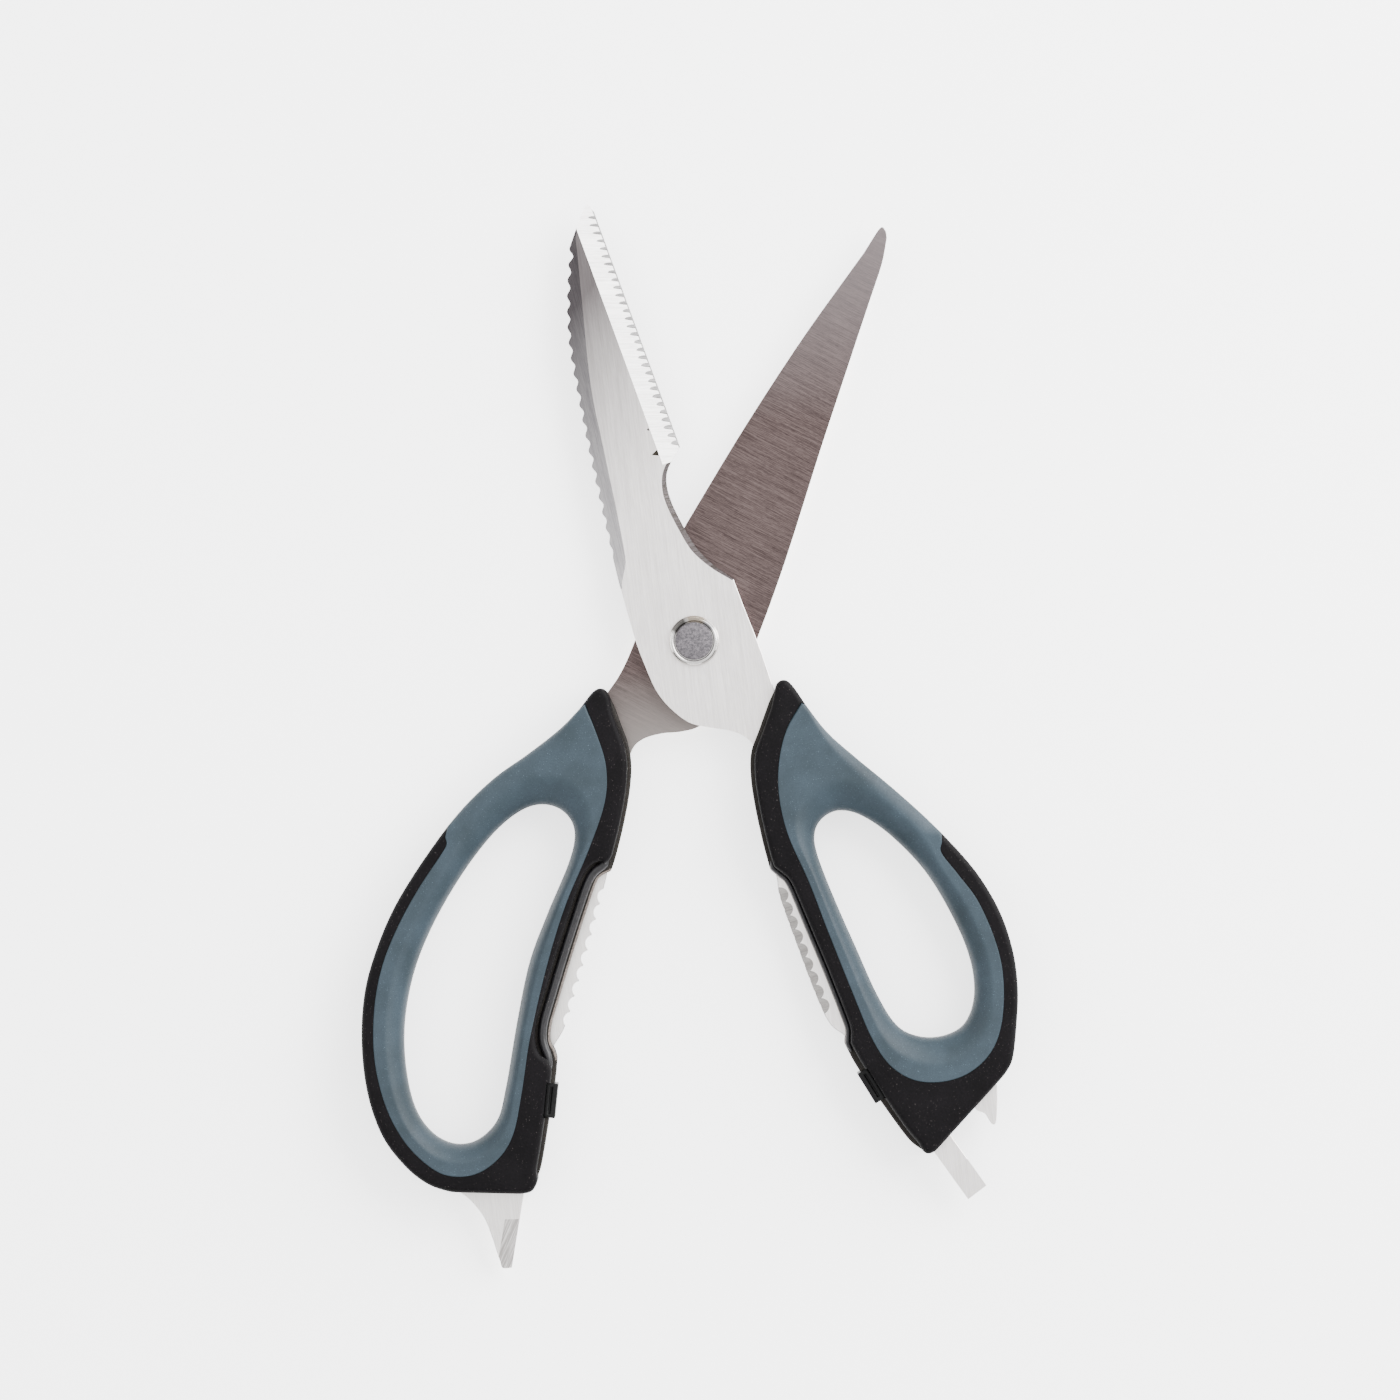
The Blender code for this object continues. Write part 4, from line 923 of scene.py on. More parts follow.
def stop_pad(name, side):
    """A rubber bar with rounded edges and a channel along its upper and lower faces."""
    pad = stop_block(name, side, PAD_LENGTH, PAD_HEIGHT, PAD_GAP, PAD_DEPTH)
    for face in (-1, 1):
        channel = stop_block("channel", side, CHANNEL_LENGTH, CHANNEL_HEIGHT, CHANNEL_NEAR, CHANNEL_FAR)
        channel.data.transform(Matrix.Translation((0, 0, face * PAD_HEIGHT / 2)))
        cut(pad, channel)
    rounded = pad.modifiers.new("rounded", "BEVEL")
    rounded.width = PAD_EDGE_RADIUS
    rounded.segments = 4
    rounded.limit_method = "ANGLE"
    return baked(pad)


def core(name, samples, tables, grip_prism, slot, heights, bead_run, bead_inset, bead_radius, side):
    """The moulded core: a high body, a lower lip along the inner side, and beads by the recess."""
    bottom = SHEAR_PLANE - HANDLE_HALF
    top = SHEAR_PLANE + HANDLE_HALF
    high = inset_loop(samples, tables[0], 10)
    low = inset_loop(samples, tables[1], 2)
    body = rounded_plate(name, high, bottom, top, BODY_EDGE_RADIUS, 7)
    lip = rounded_plate("lip", low, SHEAR_PLANE - LIP_HALF, SHEAR_PLANE + LIP_HALF, LIP_EDGE_RADIUS, 3)
    join(body, lip)
    cut(body, plate("grip_space", [grip_prism], bottom - MM, top + MM))
    cut(body, plate("tang_slot", [slot], heights[0] - SEAM, heights[1] + SEAM))
    cut(body, stop_block("pocket", side, POCKET_LENGTH, 2 * HANDLE_HALF + MM, -MM, POCKET_DEPTH))
    for face in (-1, 1):
        height = SHEAR_PLANE + face * (LIP_HALF + BEAD_RISE)
        join(body, bead("bead", bead_run, bead_inset, bead_radius, height))
    return body


# Places across the grip, from the hole to the border, closer together at both ends
GRIP_SHARES = [0.0, 0.01, 0.03, 0.06, 0.1]
GRIP_SHARES += [0.1 + 0.8 * k / 20 for k in range(1, 20)]
GRIP_SHARES += [0.9, 0.925, 0.945, 0.96, 0.975, 0.985, 0.993, 1.0]

# Rise of the grip's scoop, from the hole's rim to its crest
SCOOP = [
    (0.0, 0.0), (0.1, 0.17), (0.25, 0.385), (0.45, 0.625), (0.65, 0.815), (0.85, 0.95),
    (0.97, 0.994), (1.05, 1.0), (9.0, 1.0),
]


def smooth_value(table, spot):
    """A smooth curve through the listed places, read at one of them."""
    for i in range(len(table) - 1):
        if spot <= table[i + 1][0]:
            a, low = table[i]
            b, high = table[i + 1]
            before = table[max(0, i - 1)]
            after = table[min(len(table) - 1, i + 2)]
            slope_in = (high - before[1]) / max(1e-9, b - before[0])
            slope_out = (after[1] - low) / max(1e-9, after[0] - a)
            t = (spot - a) / (b - a)
            step = b - a
            return (
                low * (2 * t**3 - 3 * t**2 + 1)
                + high * (3 * t**2 - 2 * t**3)
                + slope_in * step * (t**3 - 2 * t**2 + t)
                + slope_out * step * (t**3 - t**2)
            )
    return table[-1][1]


def smoothed(values, width, rounds):
    """A closed row of values, each averaged with its neighbours."""
    count = len(values)
    for _ in range(rounds):
        values = [
            sum(values[(i + k) % count] for k in range(-width, width + 1)) / (2 * width + 1)
            for i in range(count)
        ]
    return values


def ray_hit(start, direction, loop):
    """Distance along a ray to the closed outline."""
    best = None
    for a, b in zip(loop, loop[1:] + loop[:1]):
        chord = b - a
        turn = direction.x * chord.y - direction.y * chord.x
        if abs(turn) < 1e-12:
            continue
        gap = a - start
        along = (gap.x * chord.y - gap.y * chord.x) / turn
        share = (gap.x * direction.y - gap.y * direction.x) / turn
        if along > 0.2 and -1e-6 <= share <= 1 + 1e-6 and (best is None or along < best):
            best = along
    return best


def outward_ways(hole):
    """Even directions away from the finger hole, one for each of its stations."""
    count = len(hole)
    ways = []
    for i in range(count):
        along = (hole[(i + 4) % count] - hole[i - 4]).normalized()
        ways.append(-left_of(along))
    xs = smoothed([w.x for w in ways], 6, 3)
    ys = smoothed([w.y for w in ways], 6, 3)
    return [Vector((x, y)).normalized() for x, y in zip(xs, ys)]


def rim_places(hole, border, corners):
    """A place on the border for each station of the hole; each corner gets a station of its own."""
    count = len(hole)
    closed = border + border[:1]
    reach = distances(closed)
    whole = reach[-1]
    spots = []
    for p, way in zip(hole, outward_ways(hole)):
        hit = p + way * ray_hit(p, way, border)
        nearest = min(range(len(border)), key=lambda k: (border[k] - hit).length)
        spots.append(reach[nearest])
    spots = unwrapped(spots, whole)
    lead = smoothed([s - spots[0] - whole * i / count for i, s in enumerate(spots)], 5, 3)
    rims = []
    for i in range(count):
        rims.append(at_distance(closed, reach, (spots[0] + whole * i / count + lead[i]) % whole)[0])
    taken = set()
    for corner in corners:
        free = [k for k in range(count) if k not in taken]
        nearest = min(free, key=lambda k: (rims[k] - corner).length)
        rims[nearest] = corner
        taken.add(nearest)
    return rims


def grip(name, hole_points, border, outside_from, outside_to):
    """A soft ring round the finger hole: scooped towards it, round where it is the handle's side."""
    loop = closed_spline(hole_points)
    hole = evenly(loop + loop[:1], HOLE_STATIONS + 1)[:-1]
    ends = (outside_from - 1, outside_from, outside_to, (outside_to + 1) % len(border))
    rims = rim_places(hole, border, [border[k] for k in ends])
    spans = [(b - a).length for a, b in zip(hole, rims)]
    scoops = smoothed([min(SCOOP_WIDEST, SCOOP_SHARE * s) for s in spans], 8, 3)
    rounds = smoothed([edge_round(p, outside_from, outside_to, border) for p in rims], 3, 2)
    sections = []
    for i in range(len(hole)):
        upper = []
        for share in GRIP_SHARES:
            p = hole[i].lerp(rims[i], share)
            inner = 0.0 if share == 0.0 else across_near(hole, i, p)
            outer = (1 - share) * spans[i]
            upper.append((p, grip_height(inner, outer, scoops[i], rounds[i])))
        upper.append((rims[i], GRIP_SIDE_HALF))
        section = [(p.x * MM, p.y * MM, SHEAR_PLANE + h * MM) for p, h in upper]
        section += [(p.x * MM, p.y * MM, SHEAR_PLANE - h * MM) for p, h in reversed(upper)]
        sections.append(section)
    return loft(name, sections, ring=True)


def unwrapped(spots, whole):
    """Lengths along a closed line made to run on without a jump."""
    run = [spots[0]]
    for s in spots[1:]:
        turns = round((run[-1] - s) / whole)
        run.append(s + turns * whole)
    return run


def across_near(hole, i, p):
    """Distance from a place to the part of the hole's edge about station i."""
    count = len(hole)
    return min((hole[(i + k) % count] - p).length for k in range(-40, 41, 2))


def edge_round(p, start, end, border):
    """Share of the large outer rounding: whole where the grip is the handle's side, none by the core."""
    on_side = start + 4 <= border.index(min(border, key=lambda q: (q - p).length)) <= end - 4
    return 1.0 if on_side else 0.0


def grip_height(inner, outer, scoop, rounding):
    """Half height of the grip, from the distances to the hole and to its outer edge."""
    crest = HANDLE_HALF / MM
    height = GRIP_RIM + (crest - GRIP_RIM) * smooth_value(SCOOP, inner / scoop)
    if inner < GRIP_RIM_RADIUS:
        height -= GRIP_RIM_RADIUS - math.sqrt(max(0.0, GRIP_RIM_RADIUS**2 - (GRIP_RIM_RADIUS - inner) ** 2))
    width = 0.2 + (GRIP_EDGE_WIDTH - 0.2) * rounding
    drop = 0.2 + (GRIP_EDGE_DROP - 0.2) * rounding
    if outer < width:
        height -= drop * (1.0 - math.sqrt(max(0.0, 1.0 - ((width - outer) / width) ** 2)))
    return height


def front_handle():
    samples, starts = loop_of(
        FRONT_HANDLE_INNER, FRONT_RECESS, FRONT_HANDLE_LOWER, FRONT_HANDLE_END, FRONT_HANDLE_FACE,
        FRONT_HANDLE_OUTER, FRONT_HANDLE_CROWN,
    )
    reach = distances(samples)
    recess, lower, end = (reach[i] for i in starts[1:4])
    whole = reach[-1]
    high = [
        (0.0, 0.3), (5.0, 0.85), (recess - 2.5, 0.85), (recess + 2.5, 1.15), (lower - 2.0, 1.15),
        (lower + 3.0, 1.25), (end - 2.5, 1.0), (end + 1.0, 0.0), (whole, 0.0),
    ]
    low = [(0.0, 0.3), (4.0, 0.0), (end - 3.0, 0.0), (end + 0.8, 0.35), (whole, 0.35)]
    edge = spline(FRONT_GRIP_EDGE)
    side = spline(FRONT_HANDLE_OUTER)
    first = min(range(len(side)), key=lambda i: (side[i] - Vector(FRONT_STRIP_TOP)).length)
    outside = side[first:]
    prism = grip_space(edge, outside, FRONT_GRIP_SIDE)
    slot = grown(front_outline(), SEAM / MM)
    run = spline(FRONT_HANDLE_INNER)[-8:] + spline(FRONT_RECESS) + spline(FRONT_HANDLE_LOWER)[:10]
    shell = core(
        "front_core_moulded", samples, (high, low), prism, slot,
        (FRONT_PLATE_BOTTOM, FRONT_PLATE_TOP), smooth_line(run, 12), 0.62, 0.5, 1,
    )
    border, start, end = grip_border(edge, outside, True)
    soft = grip("front_grip_soft", FRONT_HOLE, border, start, end)
    return shell, soft, stop_pad("front_pad_rubber", 1)


def rear_handle():
    samples, starts = loop_of(
        REAR_HANDLE_LOWER, REAR_RECESS, REAR_HANDLE_INNER, REAR_HANDLE_CROWN, REAR_HANDLE_OUTER,
        REAR_HANDLE_FACE, REAR_HANDLE_END,
    )
    reach = distances(samples)
    recess, inner, crown = (reach[i] for i in starts[1:4])
    whole = reach[-1]
    high = [
        (0.0, 0.0), (3.0, 0.8), (recess - 3.0, 0.9), (recess + 2.5, 3.2), (inner - 2.5, 3.2),
        (inner + 3.0, 0.8), (crown - 4.0, 0.8), (crown + 0.5, 0.2), (crown + 3.0, 0.0), (whole, 0.0),
    ]
    low = [(0.0, 0.35), (3.0, 0.0), (crown - 4.0, 0.0), (crown, 0.35), (whole, 0.35)]
    edge = spline(REAR_GRIP_EDGE)
    side = spline(REAR_HANDLE_OUTER)
    last = min(range(len(side)), key=lambda i: (side[i] - Vector(REAR_STRIP_TOP)).length)
    outside = side[: last + 1]
    prism = grip_space(edge, outside, REAR_GRIP_SIDE)
    slot = grown(rear_outline(), SEAM / MM)
    run = spline(REAR_HANDLE_LOWER)[-18:] + spline(REAR_RECESS) + spline(REAR_HANDLE_INNER)[:14]
    shell = core(
        "rear_core_moulded", samples, (high, low), prism, slot,
        (REAR_PLATE_BOTTOM, REAR_PLATE_TOP), smooth_line(run, 60), 1.75, 0.95, -1,
    )
    border, start, end = grip_border(edge, outside, False)
    soft = grip("rear_grip_soft", REAR_HOLE, border, start, end)
    return shell, soft, stop_pad("rear_pad_rubber", -1)


def grip_space(edge, outside, way):
    """The room that the grip fills: its edge on the core, and past the handle's side."""
    start = outside[0] + (outside[0] - edge[-1]).normalized() * GRIP_OVERLAP
    end = outside[-1] + (outside[-1] - edge[0]).normalized() * GRIP_OVERLAP
    return [*simplified(edge), start, *(p + way for p in simplified(outside)), end]


def smooth_line(points, rounds):
    """An open line with its corners eased; its ends stay."""
    for _ in range(rounds):
        middle = [(a + b * 2 + c) / 4 for a, b, c in zip(points, points[1:], points[2:])]
        points = [points[0], *middle, points[-1]]
    return points


def grip_border(edge, outside, edge_first):
    """The grip's outer line, a seam inside the core's edge, and the stretch that is the side."""
    rows = (edge, outside) if edge_first else (outside, edge)
    line = [*rows[0], *rows[1]]
    clean = [line[0]]
    for p in line[1:]:
        if (p - clean[-1]).length > 0.05:
            clean.append(p)
    side = [i for i, p in enumerate(clean) if p in outside]
    moved = grown(clean, -GRIP_SEAM)
    border = [p if i in side else q for i, (p, q) in enumerate(zip(clean, moved))]
    return border, side[0], side[-1]


# Pivot


def pivot_cup():
    """The polished ring: a chamfer outside, a rounded crest and a slope down to the bolt's head."""
    bottom = FRONT_PLATE_TOP + CUP_GAP
    rows = [
        (5.2, 0.0), (5.25, 0.05), (5.25, 0.75), (5.2, 0.85), (4.8, 1.3), (4.72, 1.36), (4.62, 1.4),
        (4.5, 1.4), (4.42, 1.36), (4.12, 1.0), (4.08, 0.9), (4.08, 0.2), (3.6, 0.2), (3.6, 0.0),
    ]
    return turned("pivot_ring_polished", [(r * MM, bottom + z * MM) for r, z in rows], 128)


def pivot_bolt():
    """The bolt's flat blasted head inside the ring, on a plain shank."""
    bottom = FRONT_PLATE_TOP + BOLT_GAP
    rows = [
        (0.0, 0.72), (3.7, 0.72), (3.85, 0.68), (3.93, 0.6), (3.96, 0.5), (3.96, 0.0), (1.9, 0.0),
        (1.9, -3.5), (1.6, -3.8), (0.0, -3.8),
    ]
    return turned("pivot_bolt_blasted", [(r * MM, bottom + z * MM) for r, z in rows], 128)


def pivot_sleeve():
    """The back of the pivot: a low polished head with a rounded rim, and its tube."""
    rows = [
        (0.0, 3.6), (2.2, 3.6), (2.2, 8.2), (3.2, 8.2), (3.2, 1.3), (5.25, 1.3), (5.35, 1.25),
        (5.4, 1.15), (5.4, 0.45), (5.36, 0.32), (5.26, 0.2), (5.1, 0.07), (4.9, 0.0), (4.6, 0.0),
        (4.5, 0.03), (4.42, 0.1), (0.0, 0.1),
    ]
    return turned("pivot_head_polished", [(r * MM, z * MM) for r, z in rows], 128)


# Materials


def linear(code, alpha=1.0):
    """A colour written as sRGB hex, in linear light."""
    channels = [int(code[i : i + 2], 16) / 255 for i in (1, 3, 5)]
    return (*(c / 12.92 if c <= 0.04045 else ((c + 0.055) / 1.055) ** 2.4 for c in channels), alpha)


def surface(name):
    """A new material with its tree, its shader and the object's own coordinates."""
    made = bpy.data.materials.new(name)
    made.use_nodes = True
    tree = made.node_tree
    tree.nodes.clear()
    shader = add(tree, "ShaderNodeBsdfPrincipled")
    add(tree, "ShaderNodeOutputMaterial", {"Surface": shader.outputs["BSDF"]})
    place = add(tree, "ShaderNodeTexCoord").outputs["Object"]
    return made, tree, shader, place


def turned_place(tree, place, angle, scale):
    """The place turned in the plane by an angle, and stretched."""
    spun = add(tree, "ShaderNodeMapping", {"Vector": place, "Rotation": (0.0, 0.0, -angle)})
    stretched = add(tree, "ShaderNodeMapping", {"Vector": spun.outputs["Vector"], "Scale": scale})
    return stretched.outputs["Vector"]


def noise(tree, place, size, detail=2.0, roughness=0.5):
    """Mottling with patches of about the size, in millimetres."""
    values = {"Vector": place, "Scale": 1.0 / (size * MM), "Detail": detail, "Roughness": roughness}
    return add(tree, "ShaderNodeTexNoise", values).outputs["Fac"]


def spread(tree, value, low, high, to_low=0.0, to_high=1.0):
    """A value stretched from one range to another and held inside it."""
    ends = {"From Min": low, "From Max": high, "To Min": to_low, "To Max": to_high}
    return add(tree, "ShaderNodeMapRange", {"Value": value, **ends}).outputs["Result"]


def mixed(tree, share, first, second, blend="MIX"):
    """One colour over another by a share."""
    made = add(tree, "ShaderNodeMix", {0: share, 6: first, 7: second}, data_type="RGBA", blend_type=blend)
    return made.outputs[2]


def calc(tree, operation, *values):
    made = add(tree, "ShaderNodeMath", dict(enumerate(values)), operation=operation)
    return made.outputs["Value"]


def bumped(tree, shader, height, strength, distance):
    values = {"Height": height, "Strength": strength, "Distance": distance * MM}
    made = add(tree, "ShaderNodeBump", values)
    tree.links.new(made.outputs["Normal"], shader.inputs["Normal"])


def put(tree, shader, name, value):
    """A shader input set to a number or linked to an output."""
    if isinstance(value, bpy.types.NodeSocket):
        tree.links.new(value, shader.inputs[name])
    else:
        shader.inputs[name].default_value = value


def ground_steel(name, angle, dark, light, roughness, pitch, depth, blotch=0.15, shade=None):
    """Steel ground or brushed one way: long streaks, shorter scratches among them, faint clouds.

    The pitch is the distance between streaks in millimetres, drawn coarse enough to be seen.
    """
    made, tree, shader, place = surface(name)
    long_way = turned_place(tree, place, angle, (1.0, 60.0, 1.0))
    streaks = noise(tree, long_way, 60.0 * pitch, 2.0, 0.6)
    short_way = turned_place(tree, place, angle + 0.05, (1.0, 14.0, 1.0))
    scratches = noise(tree, short_way, 14.0 * pitch * 0.6, 2.0, 0.55)
    clouds = noise(tree, place, 9.0, 3.0, 0.6)
    both = calc(tree, "MULTIPLY_ADD", scratches, 0.4, calc(tree, "MULTIPLY", streaks, 0.6))
    drift = spread(tree, clouds, 0.35, 0.65, -blotch, blotch)
    tone = calc(tree, "ADD", spread(tree, both, 0.38, 0.62), drift)
    colour = mixed(tree, tone, linear(dark), linear(light))
    if shade is not None:
        colour = shade(tree, place, colour)
    put(tree, shader, "Base Color", colour)
    put(tree, shader, "Metallic", 1.0)
    put(tree, shader, "Roughness", spread(tree, both, 0.35, 0.65, roughness - 0.04, roughness + 0.06))
    bumped(tree, shader, both, 0.4, depth)
    return made


def tip_shade(tree, place, colour):
    """Painted shade: the outer face darkens towards the tip, most by the scallops."""
    axes = add(tree, "ShaderNodeSeparateXYZ", {"Vector": place})
    slant = calc(tree, "MULTIPLY_ADD", axes.outputs["X"], -1.2, axes.outputs["Y"])
    reach = calc(tree, "POWER", spread(tree, slant, 40 * MM, 100 * MM), 1.1)
    return mixed(tree, calc(tree, "MULTIPLY", reach, 0.97), colour, linear("#5f5b5d"), "MULTIPLY")


def rear_face_painted_light(tree, place, colour):
    """Painted light: the inner face of the rear blade is lighter at the heel and at the tip."""
    axes = add(tree, "ShaderNodeSeparateXYZ", {"Vector": place})
    low = spread(tree, axes.outputs["Y"], -6 * MM, -22 * MM)
    colour = mixed(tree, calc(tree, "MULTIPLY", low, 0.85), colour, linear("#87817d"))
    high = spread(tree, axes.outputs["Y"], 46 * MM, 86 * MM)
    return mixed(tree, calc(tree, "MULTIPLY", high, 0.6), colour, linear("#7d7677"))


def mottled_disc(name):
    """A blasted steel disc: pale mottling with small dull pits."""
    made, tree, shader, place = surface(name)
    patches = spread(tree, noise(tree, place, 0.45, 4.0, 0.7), 0.4, 0.62)
    pits = spread(tree, noise(tree, place, 0.16, 2.0, 0.6), 0.4, 0.6)
    colour = mixed(tree, patches, linear("#514e51"), linear("#787377"))
    colour = mixed(tree, calc(tree, "MULTIPLY", pits, 0.35), colour, linear("#3c3a3c"))
    put(tree, shader, "Base Color", colour)
    put(tree, shader, "Metallic", 0.9)
    put(tree, shader, "Roughness", spread(tree, pits, 0.0, 1.0, 0.5, 0.66))
    bumped(tree, shader, pits, 0.5, 0.015)
    return made


# Painted reflections on the ring, as dark, tan and grey arcs: the angle at the middle, half the width, the
# strength and the colour
RING_PAINTED_REFLECTIONS = [(0.85, 0.4, 0.8, "#6a6a6c"), (1.5, 0.5, 0.8, "#7d6f5c"), (2.35, 0.5, 0.9, "#2b2825")]


def polished_steel(name):
    """A polished turned ring: bright, with faint turning marks, and painted reflections in dark, tan and
    grey arcs on one side.
    """
    made, tree, shader, place = surface(name)
    axes = add(tree, "ShaderNodeSeparateXYZ", {"Vector": place})
    out = add(tree, "ShaderNodeCombineXYZ", {"X": axes.outputs["X"], "Y": axes.outputs["Y"]})
    radius = add(tree, "ShaderNodeVectorMath", {0: out.outputs["Vector"]}, operation="LENGTH")
    rings = add(tree, "ShaderNodeCombineXYZ", {"X": radius.outputs["Value"], "Y": axes.outputs["Z"]})
    marks = noise(tree, rings.outputs["Vector"], 0.09, 2.0, 0.5)
    bright = mixed(tree, marks, linear("#b4b1ae"), linear("#dcd9d6"))
    angle = calc(tree, "ARCTAN2", axes.outputs["Y"], axes.outputs["X"])
    colour = bright
    # Each arc is a painted reflection, fixed on the piece by its angle about the axis
    for middle, reach, strength, code in RING_PAINTED_REFLECTIONS:
        away = calc(tree, "ABSOLUTE", calc(tree, "SUBTRACT", angle, middle))
        reflection_share = spread(tree, away, reach, reach - 0.2)
        colour = mixed(tree, calc(tree, "MULTIPLY", reflection_share, strength), colour, linear(code))
    put(tree, shader, "Base Color", colour)
    put(tree, shader, "Metallic", 1.0)
    put(tree, shader, "Roughness", spread(tree, marks, 0.3, 0.7, 0.13, 0.22))
    return made


def moulded_black(name, base, speck, roughness, grain, sheen=0.08):
    """Hard black plastic with a fine moulded grain and a few pale specks of dust."""
    made, tree, shader, place = surface(name)
    cells = noise(tree, place, 0.34, 3.0, 0.6)
    clouds = noise(tree, place, 7.0, 2.0, 0.5)
    specks = spread(tree, noise(tree, place, 0.22, 0.0, 0.5), 0.78, 0.84, 0.0, 0.7)
    grain_tone = calc(tree, "MULTIPLY_ADD", cells, 0.8, calc(tree, "MULTIPLY", clouds, 0.4))
    paler = (*(c * 2.2 + 0.001 for c in linear(base)[:3]), 1.0)
    colour = mixed(tree, spread(tree, grain_tone, 0.5, 0.72), linear(base), paler)
    put(tree, shader, "Base Color", mixed(tree, specks, colour, linear(speck)))
    put(tree, shader, "Roughness", spread(tree, cells, 0.3, 0.7, roughness, roughness + 0.12))
    put(tree, shader, "Specular IOR Level", sheen)
    bumped(tree, shader, cells, 0.6, grain)
    return made


def soft_grip(name):
    """Soft blue-grey moulding: a fine sandy grain, faint cloudiness and tiny dark and pale flecks."""
    made, tree, shader, place = surface(name)
    grain = noise(tree, place, 0.3, 3.0, 0.65)
    clouds = noise(tree, place, 11.0, 3.0, 0.55)
    flecks = noise(tree, place, 0.17, 1.0, 0.5)
    colour = mixed(tree, spread(tree, clouds, 0.35, 0.65), linear("#1f2a30"), linear("#2a363e"))
    colour = mixed(tree, spread(tree, grain, 0.42, 0.72, 0.0, 0.35), colour, linear("#162028"))
    colour = mixed(tree, spread(tree, flecks, 0.7, 0.8, 0.0, 0.55), colour, linear("#687c8b"))
    put(tree, shader, "Base Color", colour)
    put(tree, shader, "Roughness", spread(tree, grain, 0.3, 0.7, 0.5, 0.62))
    put(tree, shader, "Specular IOR Level", 0.25)
    bumped(tree, shader, grain, 0.5, 0.03)
    return made


def plain_plastic(name, low, high, roughness, size):
    """A plain moulded part with soft mottling and a faint grain."""
    made, tree, shader, place = surface(name)
    patches = noise(tree, place, size, 3.0, 0.6)
    grain = noise(tree, place, 0.25, 2.0, 0.5)
    share = spread(tree, patches, 0.35, 0.65)
    put(tree, shader, "Base Color", mixed(tree, share, linear(low), linear(high)))
    put(tree, shader, "Roughness", spread(tree, grain, 0.3, 0.7, roughness, roughness + 0.1))
    bumped(tree, shader, grain, 0.3, 0.015)
    return made


# Finishing


def finish_mesh(item, turn, sharp, rest):
    """Turns the piece to its pose, smooths its faces and keeps its sharp edges."""
    item.data.transform(Matrix.Rotation(turn, 4, "Z"))
    item.data.materials.clear()
    item.data.materials.append(rest)
    item.data.shade_smooth()
    item.data.set_sharp_from_angle(angle=math.radians(sharp))
    return item


def stand_for(item, node, body):
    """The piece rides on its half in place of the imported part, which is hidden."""
    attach(item, body)
    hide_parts(node)


def coat(item, finish, chosen):
    """Gives a finish to the faces that the test picks."""
    item.data.materials.append(finish)
    slot = len(item.data.materials) - 1
    for face in item.data.polygons:
        if chosen(face):
            face.material_index = slot


def centre_in(face, turn):
    """The middle of a face in millimetres, in the frame of the closed shears."""
    return (Matrix.Rotation(-turn, 3, "Z") @ face.center) / MM


def near(p, line, reach):
    """Whether a place is closer to a line than a reach in millimetres."""
    return across(line, Vector((p.x, p.y))).length < reach


def on_lip_edge(face, turn, line):
    """The rounded upper and lower edges of the lip, along the recess."""
    rise = abs(face.center.z - SHEAR_PLANE)
    on_edge = LIP_HALF - LIP_EDGE_RADIUS - HAIR < rise < LIP_HALF + HAIR
    return on_edge and 0.2 < abs(face.normal.z) < 0.97 and near(centre_in(face, turn), line, 1.0)


def on_bead(face, turn, line):
    """The round beads beside the recess, above and below the lip."""
    rise = abs(face.center.z - SHEAR_PLANE)
    above = LIP_HALF + BEAD_FOOT < rise < LIP_HALF + BEAD_TOP
    return above and abs(face.normal.z) > 0.05 and near(centre_in(face, turn), line, 2.75)


# How far each finish reaches from its drawn line, in millimetres
BEVEL_REACH = 5.2
WALL_REACH = 3.2
EDGE_LINE_REACH = 0.5
CHAMFER_REACH = 1.2
FACET_REACH = 4.6
TOOTH_REACH = 1.9
NICK_WALL_REACH = 0.1
NICK_FLOOR_REACH = 0.6
PRY_REACH = 11.5

# Where the ground bevels start and the tang ends, up the closed shears in millimetres
FRONT_BEVEL_FROM = 37.5
FACET_FROM = 13
REAR_BEVEL_FROM = 15
TANG_TOP = -45

# The height of a face's normal from which it counts as flat, and as looking up or down
FLAT = 0.985
FACING = 0.9


